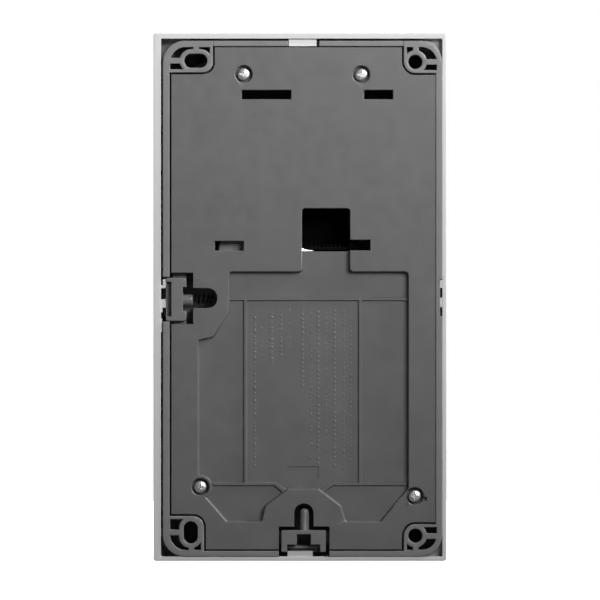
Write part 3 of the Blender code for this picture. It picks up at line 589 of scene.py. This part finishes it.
FINISHES = {
    "white_plastic": moulded("white_plastic", (0.58, 0.58, 0.58), 0.42, 0.015, 0.006, 0.2),
    "dark_grey_plastic": moulded("dark_grey_plastic", (0.112, 0.112, 0.112), 0.40, 0.045, specular=0.6),
    "frame_grey": moulded("frame_grey", (0.178, 0.178, 0.178), 0.38, 0.04, specular=0.65),
    "latch_plastic": moulded("latch_plastic", (0.150, 0.150, 0.150), 0.36, 0.03, 0.004),
    "black_plastic": moulded("black_plastic", (0.014, 0.014, 0.014), 0.45, 0.1, 0.006),
    "smoked_plastic": polished("smoked_plastic", (0.006, 0.006, 0.007), 0.06, coat=0.4),
    "clear_plastic": polished("clear_plastic", (0.86, 0.88, 0.9), 0.04, transmission=0.9),
    "translucent_plastic": moulded("translucent_plastic", (0.72, 0.72, 0.73), 0.3, 0.02, 0.004, 0.3),
    "lens_glass": polished("lens_glass", (0.03, 0.035, 0.06), 0.03, transmission=0.25, coat=1.0),
    "steel": metal("steel", (0.95, 0.95, 0.95), 0.4),
    "spring_steel": metal("spring_steel", (0.085, 0.085, 0.085), 0.55),
    # Jack contacts: gold darkened almost to black, painted shade for the deep dark of the network inlet.
    "shade_painted_gold": metal("shade_painted_gold", (0.008, 0.007, 0.006), 0.45),
    # Jack housing: nearly black with almost no sheen, painted shade that keeps the network inlet dark.
    "shade_painted_inlet": moulded("shade_painted_inlet", (0.0015, 0.0015, 0.0015), 0.7, 0.1, 0.004, specular=0.02),
    "gold_plated": metal("gold_plated", (0.6, 0.52, 0.36), 0.3),
    "seal_rubber": moulded("seal_rubber", (0.02, 0.02, 0.02), 0.8, 0.1, 0.02, 0.3),
    "circuit_board": laminate("circuit_board", (0.008, 0.02, 0.014)),
    "acoustic_mesh": woven("acoustic_mesh", (0.03, 0.03, 0.03)),
}


# ---------------------------------------------------------------- naming and riding

def clean(shape):
    """Welds doubled points and splits many-sided faces evenly."""
    bm = bmesh.new()
    bm.from_mesh(shape.data)
    bmesh.ops.remove_doubles(bm, verts=bm.verts, dist=0.0008)
    bmesh.ops.dissolve_degenerate(bm, dist=0.0008, edges=bm.edges)
    wide = [face for face in bm.faces if len(face.verts) > 4]
    bmesh.ops.triangulate(bm, faces=wide, quad_method="BEAUTY", ngon_method="BEAUTY")
    bm.to_mesh(shape.data)
    bm.free()


def piece(name, shape, slot_name, nodes=(), body=BODY, angle=48, finish=None):
    """Names a finished shape, brings it to metres, smooths its shading and puts it on its body."""
    shape.name = name
    shape.data.name = name
    clean(shape)
    shape.data.transform(Matrix.Scale(MM, 4))
    shape.data.shade_smooth()
    shape.data.set_sharp_from_angle(angle=math.radians(angle))
    shape.data.materials.clear()
    shape.data.materials.append(FINISHES[finish or slot_name])
    normals = shape.modifiers.new("normals", "WEIGHTED_NORMAL")
    normals.keep_sharp = True
    normals.weight = 80
    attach(shape, body)
    if nodes:
        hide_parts(*nodes)
    return shape


# ---------------------------------------------------------------- shell

def grille():
    """Speaker slots, as cutters through the front wall."""
    middle = (GRILLE_SLOTS - 1) / 2
    return [
        mouth(slot(SPEAKER[0], SPEAKER[1] + (k - middle) * GRILLE_PITCH, 8.0, 0.0, 0.7), SHELL.front,
              COVER_INNER_Y + 1.0, 0.25)
        for k in range(GRILLE_SLOTS)
    ]


def sloped_tab(x, z, rear_low, rear_high, front, lip=0.12):
    """Block of the shell whose rear face slopes from rear_low at z[0] to rear_high at z[1]."""
    slope = math.atan2(rear_high - rear_low, z[1] - z[0])
    bm = bmesh.new()
    rows = []
    for side, inward, drop in ((x[0], 0, lip), (x[0], lip, 0), (x[1], -lip, 0), (x[1], 0, lip)):
        rows.append([
            bm.verts.new((side + inward, rear_low - drop, z[0])),
            bm.verts.new((side + inward, rear_high - drop, z[1] + drop * math.sin(slope))),
            bm.verts.new((side + inward, front, z[1])),
            bm.verts.new((side + inward, front, z[0])),
        ])
    for row, other in zip(rows, rows[1:]):
        for k in range(4):
            bm.faces.new((row[k], row[(k + 1) % 4], other[(k + 1) % 4], other[k]))
    bm.faces.new(rows[0])
    bm.faces.new(rows[-1])
    return raw_object(bm)


def corner_floor(ear, depth):
    """Web of the shell in the corner outside the round corner of the frame."""
    side, up = ear.side, ear.up
    wall_x = SHELL_INNER[1] if side > 0 else SHELL_INNER[0]
    wall_z = SHELL_INNER[3] if up > 0 else SHELL_INNER[2]
    x = (FRAME_AREA[1] if side > 0 else FRAME_AREA[0]) - side * FRAME_CORNER
    z = (FRAME_AREA[3] if up > 0 else FRAME_AREA[2]) - up * FRAME_CORNER
    radius = FRAME_CORNER + 0.04
    arc = [math.pi / 2 * k / 12 for k in range(13)]
    points = [(x + side * radius * math.cos(a), z + up * radius * math.sin(a)) for a in arc]
    points += [(x, wall_z + up * 0.4), (wall_x + side * 0.4, wall_z + up * 0.4), (wall_x + side * 0.4, z)]
    return prism([Vector(point) for point in points], depth, depth - 2.0)


def shell():
    """White outer shell with its front openings and the tabs and ribs inside its walls."""
    outer = rectangle(SHELL.left, SHELL.right, SHELL.bottom, SHELL.top, SHELL_CORNER, 5)
    front = SHELL.front
    body = stack(
        (widened(outer, -0.2), RIM_Y), (widened(outer, -0.07), RIM_Y - 0.02),
        (widened(outer, -0.02), RIM_Y - 0.07), (outer, RIM_Y - 0.2),
        *[(widened(outer, -0.55 * (1 - math.cos(a))), front + 0.55 * (1 - math.sin(a)))
          for a in (0.0, *arc_steps(5))],
    )
    edge = FASCIA_FLANGE
    panel = (FASCIA.left + edge, FASCIA.right - edge, FASCIA.bottom + edge, FASCIA.top - edge)
    lens, edge = span("motion_lens"), MOTION_FLANGE
    window = (lens.left + edge, lens.right - edge, lens.bottom + edge, lens.top - edge)
    through = COVER_INNER_Y + 1.0
    cut(
        body,
        mouth(rectangle(*SHELL_INNER, 0.3, 2), RIM_Y, COVER_INNER_Y, 0.1, 2),
        mouth(rectangle(*panel, 6.0), front, through, 0.15),
        mouth(rectangle(*window, 3.0), front, through, 0.2),
        mouth(slot(*MICROPHONE, 0.0, 0.0, 1.0), front, through, 0.3),
        mouth(slot(*BUTTON, 0.0, 0.0, LIGHT_RING_RADIUS + 0.15, 24), front, through, 0.25),
        *grille(),
    )
    left, right, bottom, top = SHELL_INNER
    tabs = [
        sloped_tab((-4.25, 2.9), (64.25, top + 0.4), -0.4, -1.2, -3.2),
        sloped_tab((-3.25, 3.25), (bottom - 0.4, -65.05), -1.1, -0.5, -4.2),
        box((34.35, 35.1), (-0.5, -4.2), (2.3, 4.6)),
        box((34.9, right + 0.4), (-0.6, -4.2), (2.3, 3.1)),
        box((34.35, right + 0.4), (-0.5, -4.2), (-2.75, -0.55)),
        box((35.2, right + 0.4), (-0.6, -4.2), (-3.9, -2.6)),
        box((35.3, right + 0.4), (-0.6, -4.2), (-9.0, -5.5)),
        box((left - 0.4, left + 0.5), (-0.4, -3.0), (2.35, 4.4)),
        box((left - 0.4, left + 0.5), (-0.4, -3.0), (-2.6, -0.15)),
    ]
    floors = [corner_floor(ear, depth) for ear, depth in zip(EARS, CORNER_FLOORS_Y)]
    return join(body, *tabs, *floors)


# ---------------------------------------------------------------- frame

def ear_pockets(ear):
    """Deep pockets of one corner ear, left between its walls, its two ribs and its screw ring."""
    outer_x = FRAME_AREA[1] - OUTER_WALL["right"] if ear.side > 0 else FRAME_AREA[0] + OUTER_WALL["left"]
    outer_z = FRAME_AREA[3] - OUTER_WALL["top"] if ear.up > 0 else FRAME_AREA[2] + OUTER_WALL["bottom"]
    inner_x = ear.x + ear.side * EAR_WALL
    inner_z = ear.z + ear.up * EAR_WALL
    area = outline(
        (inner_x, inner_z, ear.radius - EAR_WALL), (outer_x, inner_z),
        (outer_x, outer_z, FRAME_CORNER - 1.7), (inner_x, outer_z),
    )
    half, below = RIB_WIDTH / 2, EAR_POCKET_Y - 1.0
    rib_x = sorted((ear.hole_x, ear.side * FAR))
    rib_z = sorted((ear.hole_z, ear.up * FAR))
    ring = slot(ear.hole_x, ear.hole_z, ear.slot_x, ear.slot_z, HOLE_RADIUS + RING_WALL)
    return cut(
        mouth(area, REAR_Y, EAR_POCKET_Y, 0.14),
        crest(ring, REAR_Y, below, 0.14),
        crest(rectangle(*rib_x, ear.rib_z - half, ear.rib_z + half), REAR_Y, below, 0.14),
        crest(rectangle(ear.rib_x - half, ear.rib_x + half, *rib_z), REAR_Y, below, 0.14),
    )


def ear_line(ear):
    """Fine groove across the top band, where it meets an upper ear."""
    x = ear.x - ear.side * 0.12
    return mouth(rectangle(x - 0.05, x + 0.05, OPENING[3] - 0.5, FAR), REAR_Y, REAR_Y - 0.2, 0.12)


def frame_body():
    """Dark frame: band round the opening, corner ears, gasket ledge and the two latch bays."""
    corner = rectangle(*FRAME_AREA, FRAME_CORNER, 16)
    body = rounded(corner, REAR_Y, FRAME.front, 0.2, 0.1, 3)
    cavity = prism(opening_outline(Gap(*[LEDGE] * 5)), LEDGE_Y + 0.5, FRAME.front - 1.0)
    grow = LEDGE + 0.6
    cut(cavity, *[prism(bay, LEDGE_Y + 2.0, BOSS_Y) for bay in (side_pocket(grow), bottom_pocket(grow))])
    cut(body, mouth(opening_outline(Gap(*[0.0] * 5)), REAR_Y, LEDGE_Y), cavity)
    left = FRAME_AREA[0]
    cut(
        body,
        mouth(side_pocket(0.0, True), REAR_Y, BAY_Y),
        mouth(bottom_pocket(0.0), REAR_Y, BAY_Y),
        mouth(rectangle(-4.9, 3.0, OPENING[3] - 0.3, FAR), REAR_Y, -3.6),
        mouth(rectangle(left - 1.0, left + 0.52, -4.95, 4.55), REAR_Y, -3.4, 0.1),
    )
    for ear in EARS:
        hole = slot(ear.hole_x, ear.hole_z, ear.slot_x, ear.slot_z, HOLE_RADIUS)
        cut(body, ear_pockets(ear), mouth(hole, REAR_Y, FRAME.front - 1.0, 0.14))
    return cut(body, ear_line(EARS[0]), ear_line(EARS[1]))


# ---------------------------------------------------------------- rear cover

def recess_ribs():
    """Low ribs on the floor of the recess with leaning sides, some with slanted ends."""
    half, lean = 0.5, 0.22

    def bar(points):
        return stack((widened(points, -lean), RECESS_RIB_Y), (points, RECESS_Y), (points, RECESS_Y - 0.4))

    low, high = RIB_LOW_Z - half, RIB_LOW_Z + half
    return [
        bar(rectangle(-27.95, 18.45, RIB_TOP_Z - half, RIB_TOP_Z + half)),
        bar(rectangle(RIB_RIGHT_X - half, RIB_RIGHT_X + half, RIB_LOW_Z, RIB_TOP_Z)),
        bar(rectangle(RIB_LEFT_X - half, RIB_LEFT_X + half, RIB_LOW_Z, RIB_TOP_Z)),
        bar(outline((22.6, low), (6.6, low), (4.0, -50.6), (3.3, -49.4), (6.2, high), (22.6, high))),
        bar(outline((-27.6, low), (-8.4, low), (-5.6, -50.6), (-4.9, -49.4), (-8.0, high), (-27.6, high))),
    ]


def rear_cover():
    """Flat cover screwed on from behind, with the wire recess, cable opening, slots and label field."""
    plate = rounded(opening_outline(COVER_GAP), COVER_Y, COVER.front, 0.16, 0.1, 3)
    beyond = COVER.front - 1.0
    recess = mouth(wire_recess(), COVER_Y, RECESS_Y, 0.24, 3, 0.26)
    cut(recess, rounded_post(REAR_SCREWS["lower_right"], 3.0, COVER_Y, RECESS_Y - 1.0))
    notch_x, notch_z = REAR_SCREWS["lower_left"]
    corner = outline((-23.9, -53.4), (-27.7, -49.2), (notch_x + 1.6, notch_z - 1.0), (notch_x + 1.7, -53.4))
    cut(
        plate, recess, prism(corner, 1.0, COVER_Y - 0.35),
        mouth(side_pocket(0.0), COVER_Y, beyond), mouth(bottom_pocket(0.0), COVER_Y, beyond),
    )
    join(plate, *recess_ribs())
    left, right, low, high = CABLE
    cable = outline((left, low), (right, low), (right, high, 0.8), (left, high, 0.8))
    cut(
        plate,
        box((-4.8, 3.3), (1.0, RECESS_Y - 0.18), (-46.3, -43.4)),
        mouth(cable, COVER_Y, beyond, 0.2),
        *[mouth(rectangle(*area), COVER_Y, beyond) for area in SLOTS],
        box((notch_x - 3.1, notch_x - 2.0), (1.0, COVER_Y - 0.9), (notch_z - 1.2, notch_z - 0.2)),
    )
    for at in REAR_SCREWS.values():
        seat = slot(*at, 0.0, 0.0, SCREW_SEAT_RADIUS, 12)
        cut(plate, mouth(seat, COVER_Y, SCREW_SEAT_Y, 0.22), disc(at, 1.2, 1.0, beyond, 32))
    return plate


def rating_marks():
    """Rows of small raised dashes where the rating text would be. They spell nothing."""
    columns = (  # middle along X, top, bottom and width of each column of dashes
        (11.6, -3.0, -43.5, 0.8), (9.9, -3.2, -17.0, 0.5), (7.4, -4.0, -16.5, 1.3),
        (4.9, -4.5, -14.5, 0.8), (2.7, -3.0, -13.0, 0.5), (-0.6, -3.0, -22.5, 0.8),
        (-2.9, -3.0, -41.0, 0.5), (-4.6, -3.5, -42.5, 0.8), (-6.6, -3.0, -40.0, 0.5),
        (-8.8, -3.2, -43.0, 0.8), (-11.2, -3.0, -43.5, 0.5), (-13.0, -3.0, -41.5, 0.5),
    )
    lengths = (0.5, 1.0, 0.4, 0.8, 1.4, 0.6)
    space, long_space = 0.35, 1.3
    bm = bmesh.new()
    for row, (x, top, low, width) in enumerate(columns):
        z, k = top, row
        while z > low:
            length = lengths[k % len(lengths)]
            dash = rectangle(x - width / 2, x + width / 2, z - length, z)
            shape = stack((widened(dash, -0.16), RECESS_Y + 0.035), (dash, RECESS_Y - 0.03))
            bm.from_mesh(shape.data)
            bpy.data.objects.remove(shape)
            z -= length + (long_space if (k * 7 + row) % 11 == 0 else space)
            k += 1 + row % 2
    return raw_object(bm)


def inlet_catch():
    """Sliver of the spring catch at the lower corner of the network inlet, leaning into it."""
    right, low = CABLE[1], CABLE[2]
    sliver = outline(
        (right + 0.1, low + 0.85), (right + 0.1, low + 0.1),
        (right - 3.2, low + 0.15), (right - 1.2, low + 0.4),
    )
    shape = prism(sliver, -1.25, -1.6)
    for vertex in shape.data.vertices:
        vertex.co.y += 0.47 * (vertex.co.x - right) - 0.3 * (vertex.co.z - low)
    return shape


def side_slot_pad():
    """Round pad that shows through the slot beside the wire recess."""
    profile = [(0.0, -3.3), (3.9, -3.3), (4.2, -3.4), (4.3, -3.6), (4.3, -4.3)]
    return turned(profile, (16.6, 12.3), sides=48)


def cross_screw(at):
    """Pan-head screw with a rounded head and a tapered cross recess."""
    x, z = at
    top, r = -0.42, SCREW_HEAD_RADIUS
    dome = [(0.0, top)]
    dome += [(r * 0.84 * k / 5, top - 0.3 * (k / 5) ** 2) for k in range(1, 6)]
    dome += [(r * 0.94, top - 0.42), (r * 0.985, top - 0.54), (r, top - 0.7)]
    shank = [(r, -1.4), (0.9, -1.4), (0.9, -9.0), (0.45, -9.5)]
    head = turned([*dome, *shank], at, sides=48)
    arm, half = r * 0.62, 0.17
    cross = [(half, arm), (half, half), (arm, half), (arm, -half), (half, -half), (half, -arm)]
    cross += [(-a, -b) for a, b in cross]
    points = [Vector((x + a, z + b)) for a, b in cross]
    return cut(
        head,
        stack((widened(points, 0.13), top + 0.3), (points, top - 0.3), (widened(points, -0.08), top - 0.8)),
        turned([(0.0, top - 1.05), (0.36, top - 0.42), (0.5, top + 0.5)], at, sides=20),
    )


# ---------------------------------------------------------------- latches

def side_latch():
    """Side latch: rounded finger block with its groove, notch, guide post, side flanges and nose."""
    left, right = 29.1, 34.35
    low, high = SIDE_LATCH.bottom + 1.4, SIDE_LATCH.top - 1.9
    rear, front = SIDE_LATCH.rear, SIDE_LATCH.front
    block = rounded(
        outline((right, low, 0.3), (right, high, 0.3), (left, high, 0.6), (left, low, 0.6)),
        rear, front, 0.18, 0.1, 3,
    )
    flange = rectangle(left + 0.05, right - 1.6, SIDE_LATCH.bottom, SIDE_LATCH.top, 0.3, 2)
    nose = rectangle(right - 0.5, SIDE_LATCH.right, low + 1.0, high - 1.0, 0.4, 3)
    join(block, rounded(flange, -2.9, -4.4, 0.15, 0.15, 2), rounded(nose, -4.6, front + 0.01, 0.3, 0.05, 3))
    cut(
        block,
        mouth(rectangle(left - 1.0, left + 0.9, -3.6, 2.55), rear, front - 1.0, 0.12),
        mouth(rectangle(right - 1.4, right - 0.22, low + 1.15, high - 1.0), rear, -2.1, 0.1),
    )
    post = turned(
        [(1.45, left + 1.2), (1.45, 28.0), (1.35, 27.68), (1.15, 27.5), (0.9, 27.4)],
        (-2.95, -0.75), "X", 40,
    )
    return join(block, post)


def bottom_latch():
    """Bottom latch: windowed block with two legs, cross bar, round post, flanges and nose."""
    left, right = -6.6, 4.8
    top = BOTTOM_POCKET_Z - 0.9
    low, leg_end, leg = -63.4, BOTTOM_LATCH.bottom + 0.2, 1.5
    rear, front = BOTTOM_LATCH.rear, BOTTOM_LATCH.front
    block = rounded(
        outline((left, leg_end, 0.25), (left + leg, leg_end, 0.25), (left + leg, low), (right - leg, low),
                (right - leg, leg_end, 0.25), (right, leg_end, 0.25), (right, top, 0.3), (left, top, 0.3)),
        rear, -4.0, 0.18, 0.1, 3,
    )
    body = rectangle(left + 0.1, right - 0.1, low + 0.1, top - 0.1, 0.3, 2)
    flange = rectangle(left - 1.4, right + 1.15, low + 0.2, top - 0.2, 0.3, 2)
    nose = rectangle(left + leg + 0.2, right - leg - 0.2, BOTTOM_LATCH.bottom, low + 0.5, 0.4, 3)
    bar = rectangle(left + leg - 0.25, right - leg + 0.25, -64.4, -63.85)
    join(
        block,
        rounded(flange, -2.9, -4.35, 0.15, 0.15, 2), rounded(body, -3.5, front, 0.05, 0.1, 2),
        rounded(nose, -4.6, front + 0.01, 0.3, 0.05, 3), rounded(bar, -2.7, -3.55, 0.12, 0.12, 2),
    )
    cut(block, mouth(rectangle(-2.75, 0.8, -63.7, -60.7), rear, front - 0.3, 0.12))
    post = turned(
        [(1.18, top - 0.5), (1.18, -55.2), (1.1, -54.75), (0.85, -54.35), (0.45, -54.15), (0.0, -54.1)],
        (-1.15, -1.55), "Z", 40,
    )
    return join(block, post)


# ---------------------------------------------------------------- springs

def wound_wire(low, high, along, wire, radius, turns):
    """Round wire wound between two corners of a box, round the axis numbered along."""
    a, b = [k for k in range(3) if k != along]
    per_turn, sides = 28, 12
    count = round(turns * per_turn)
    section = [2 * math.pi * j / sides for j in range(sides)]
    length = high[along] - low[along] - wire
    bm = bmesh.new()
    rings = []
    for k in range(count + 1):
        angle = 2 * math.pi * turns * k / count
        out, way = Vector((0.0, 0.0, 0.0)), Vector((0.0, 0.0, 0.0))
        out[a], out[b] = math.cos(angle), math.sin(angle)
        way[a], way[b] = -radius * math.sin(angle), radius * math.cos(angle)
        way[along] = length / (2 * math.pi * turns)
        side = way.normalized().cross(out)
        middle = (low + high) / 2 + radius * out
        middle[along] = low[along] + wire / 2 + length * k / count
        rings.append([
            bm.verts.new(middle + wire / 2 * (math.cos(t) * out + math.sin(t) * side)) for t in section
        ])
    for ring, other in zip(rings, rings[1:]):
        for j in range(sides):
            bm.faces.new((ring[j], ring[(j + 1) % sides], other[(j + 1) % sides], other[j]))
    bm.faces.new(rings[0])
    bm.faces.new(rings[-1])
    return raw_object(bm)


def spring(joint):
    """Coiled spring in the box of a joint's spring node, fixed on the joint's parent body."""
    held = joint["deforming_nodes"][0]
    node = held["node"]
    letter = held["mode"][-1]
    along = "xyz".index(letter)
    low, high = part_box(node)
    wire, radius, turns, finish = SPRINGS[node]
    shape = wound_wire(low / MM, high / MM, along, wire, radius, turns)
    made = piece(node.replace("spring", "coil"), shape, "steel", [node], joint["parent"], finish=finish)
    axis, anchor = [0.0, 0.0, 0.0], [0.0, 0.0, 0.0]
    axis[along], anchor[along] = 1.0, held[f"fixed_end_{letter}_m"]
    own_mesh(made)


# ---------------------------------------------------------------- front

def fascia():
    """Smoked panel round the camera, with a softly rounded front edge."""
    edge = FASCIA_FLANGE + FIT
    area = (FASCIA.left + edge, FASCIA.right - edge, FASCIA.bottom + edge, FASCIA.top - edge)
    panel = rounded(rectangle(*area, 5.7, 12), -24.7, FASCIA.front, 0.05, 0.3)
    flange = rectangle(FASCIA.left, FASCIA.right, FASCIA.bottom, FASCIA.top, 7.5, 12)
    join(panel, rounded(flange, -24.6, -25.5, 0.1, 0.1, 2))
    return cut(panel, mouth(slot(*CAMERA, 0.0, 0.0, 13.0, 24), FASCIA.front, -24.0, 0.15))


def camera_bezel():
    front = BEZEL.front
    profile = [
        (12.7, -24.7), (12.7, front + 0.25), (12.45, front), (12.0, front), (11.6, front + 0.15),
        (9.9, front + 0.55), (9.6, front + 0.6), (9.2, front + 0.6), (9.2, -26.45), (10.3, -26.45),
        (10.3, -24.7),
    ]
    return turned(profile, CAMERA, sides=96, ring=True)


def camera_window():
    crown = [(9.05 * math.cos(a), -26.1 - 0.5 * math.sin(a)) for a in [math.pi / 2 * k / 8 for k in range(8)]]
    return turned([(10.0, -24.9), (10.0, -26.1), *crown, (0.0, -26.62)], CAMERA, sides=96)


def lens_barrel():
    """Stepped barrel with fine anti-glare rings towards the lens."""
    rings = []
    for k in range(5):
        rings += [(4.0 - k * 0.2, -24.1 + k * 0.22), (3.86 - k * 0.2, -24.1 + k * 0.22)]
    profile = [(4.6, -16.7), (4.6, -21.3), (5.95, -21.3), (5.95, -24.0), (5.75, -24.15), (4.15, -24.15)]
    return turned(profile + rings + [(3.0, -23.0), (3.0, -16.7)], CAMERA, sides=80, ring=True)


def lens_element():
    crown = [(2.75 * math.cos(a), -22.5 - 1.15 * math.sin(a))
             for a in [math.pi / 2 * k / 8 for k in range(8)]]
    return turned([(2.75, -22.2), *crown, (0.0, -23.65)], CAMERA, sides=64)


def motion_lens():
    """Milky window with a grid of shallow lenslets on its front."""
    at = span("motion_lens")
    edge = MOTION_FLANGE + FIT
    area = (at.left + edge, at.right - edge, at.bottom + edge, at.top - edge)
    lens = rounded(rectangle(*area, 2.7, 10), -25.0, -27.2, 0.05, 0.25)
    join(lens, rounded(rectangle(at.left, at.right, at.bottom, at.top, 4.0, 10), -24.9, -25.5, 0.1, 0.1, 2))
    pitch, half = 3.6, 0.1
    grooves = []
    for k in range(-3, 4):
        x = MOTION[0] + k * pitch
        grooves.append(box((x - half, x + half), (-27.08, -28.0), (area[2] + 1.5, area[3] - 1.5)))
    return cut(lens, *grooves)


def light_ring():
    inner, outer = BUTTON_RADIUS + 0.25, LIGHT_RING_RADIUS
    arc = [(inner + (outer - inner) * (0.5 + 0.5 * math.cos(a)), -27.05 - 0.25 * math.sin(a))
           for a in [math.pi * k / 10 for k in range(11)]]
    profile = [(inner, -25.0), (16.9, -25.0), (16.9, -25.5), (outer, -25.5), *arc]
    return turned(profile, BUTTON, sides=128, ring=True)


def button_cap():
    """Round push button with a dished face, a rounded rim and the stem that works the switch."""
    front = span("button_cap").front
    dish = [(11.0 * k / 10, front + 0.5 - 0.45 * (k / 10) ** 2) for k in range(1, 11)]
    rim = [(11.8 + 1.2 * math.sin(a), front + 0.55 - 0.55 * math.cos(a))
           for a in [math.pi / 2 * k / 6 for k in range(7)]]
    profile = [(0.0, front + 0.5), *dish, *rim]
    profile += [
        (BUTTON_RADIUS, -25.4), (11.8, -25.4), (11.8, -26.2), (2.4, -26.2), (2.4, -21.9), (0.0, -21.9),
    ]
    return turned(profile, BUTTON, sides=128)


# ---------------------------------------------------------------- studio

def area_light(name, place, aim, size, power, spread=180.0):
    """Soft rectangular light. A narrower spread fades away from its aim."""
    data = bpy.data.lights.new(name, "AREA")
    data.shape = "RECTANGLE"
    data.size, data.size_y = size
    data.energy = power
    data.spread = math.radians(spread)
    light = bpy.data.objects.new(name, data)
    light.location = place
    light.rotation_euler = (Vector(aim) - Vector(place)).to_track_quat("-Z", "Y").to_euler()
    light.visible_camera = False
    bpy.context.scene.collection.objects.link(light)
    return light


def studio():
    """Pale floor, even white surround, soft key above the wall side and weaker fills."""
    scene = bpy.context.scene
    scene.view_settings.view_transform = "Standard"
    world = bpy.data.worlds.new("studio")
    scene.world = world
    world.use_nodes = True
    tree = world.node_tree
    tree.nodes.clear()
    seen = add_node(tree, "ShaderNodeBackground", color=(1.0, 1.0, 1.0, 1.0), strength=1.0)
    around = add_node(tree, "ShaderNodeBackground", color=(1.0, 1.0, 1.0, 1.0), strength=0.115)
    path = add_node(tree, "ShaderNodeLightPath")
    mix = add_node(tree, "ShaderNodeMixShader")
    output = add_node(tree, "ShaderNodeOutputWorld")
    tree.links.new(path.outputs["Is Camera Ray"], mix.inputs[0])
    tree.links.new(around.outputs["Background"], mix.inputs[1])
    tree.links.new(seen.outputs["Background"], mix.inputs[2])
    tree.links.new(mix.outputs["Shader"], output.inputs["Surface"])

    bm = bmesh.new()
    bmesh.ops.create_grid(bm, x_segments=8, y_segments=8, size=0.45)
    bmesh.ops.translate(bm, vec=(0.0, 0.0, SHELL.bottom * MM - 0.0002), verts=bm.verts)
    mesh = bpy.data.meshes.new("floor")
    bm.to_mesh(mesh)
    bm.free()
    floor = bpy.data.objects.new("floor", mesh)
    scene.collection.objects.link(floor)
    made, tree, shader = new_material("floor")
    shade(tree, shader, noise(tree, place_of(tree), 60.0), (0.88, 0.88, 0.88), 0.01)
    shader.inputs["Roughness"].default_value = 0.9
    shader.inputs["Specular IOR Level"].default_value = 0.0
    shader.inputs["Emission Color"].default_value = (1.0, 1.0, 1.0, 1.0)
    shader.inputs["Emission Strength"].default_value = 0.8
    mesh.materials.append(made)
    floor.visible_diffuse = False
    floor.visible_glossy = False

    area_light("key", (-0.27, 0.462, 0.276), (0.05, 0.0, 0.22), (0.34, 0.30), 1.29, 80.0)
    area_light("edge", (-0.78, 0.10, 0.58), (0.0, 0.0, 0.0), (0.20, 0.06), 7.5)
    area_light("front_key", (0.30, -0.55, 0.50), (0.0, 0.0, 0.0), (0.35, 0.30), 6.0)
    area_light("front_fill", (-0.50, -0.60, 0.20), (0.0, 0.0, 0.0), (0.40, 0.50), 3.0)


def camera():
    """Camera square to the wall side, far enough away to look almost without perspective."""
    distance, shown = 1.5, 0.15358
    data = bpy.data.cameras.new("camera")
    data.sensor_width = 36.0
    data.lens = 36.0 * distance / shown
    data.clip_end = 20.0
    made = bpy.data.objects.new("camera", data)
    made.location = (0.0, distance, -0.00075)
    made.rotation_euler = (math.radians(90), 0.0, math.radians(180))
    bpy.context.scene.collection.objects.link(made)
    bpy.context.scene.camera = made


def build():
    piece("shell", shell(), "white_plastic", ["front_cover"])
    piece("frame_body", frame_body(), "dark_grey_plastic", ["chassis"], finish="frame_grey")
    piece("rear_cover_plate", rear_cover(), "dark_grey_plastic", ["rear_cover"])
    piece("rating_marks", rating_marks(), "dark_grey_plastic")
    piece("inlet_catch", inlet_catch(), "steel")
    piece("side_slot_pad", side_slot_pad(), "dark_grey_plastic", finish="frame_grey")
    for name, at in REAR_SCREWS.items():
        piece("cross_screw_" + name, cross_screw(at), "steel", ["rear_screw_" + name])
    piece("side_slider", side_latch(), "latch_plastic", ["side_latch"], "side_latch_body")
    piece("bottom_slider", bottom_latch(), "latch_plastic", ["bottom_latch"], "bottom_latch_body")
    piece("fascia_glass", fascia(), "smoked_plastic", ["fascia_panel"])
    piece("bezel_ring", camera_bezel(), "black_plastic", ["camera_bezel"])
    piece("window_dome", camera_window(), "clear_plastic", ["camera_window"])
    piece("lens_tube", lens_barrel(), "black_plastic", ["lens_barrel"])
    piece("lens_front", lens_element(), "lens_glass", ["lens_element"])
    piece("motion_window", motion_lens(), "translucent_plastic", ["motion_lens"])
    piece("light_ring", light_ring(), "translucent_plastic", ["button_light_ring"])
    piece("button_face", button_cap(), "white_plastic", ["button_cap"], "button_body")

    for joint in frame["record"]["behaviour"]["joints"]:
        spring(joint)

    # The jack in the network inlet takes the two finishes that paint the inlet's shade.
    finishes = {"jack_contacts": "shade_painted_gold", "jack_housing": "shade_painted_inlet"}
    for part in frame["record"]["subparts"]:
        for held in frame["nodes"][part["node"]].material_slots:
            held.material = FINISHES[finishes.get(part["node"], part["material_slot"])]


build()
studio()
camera()
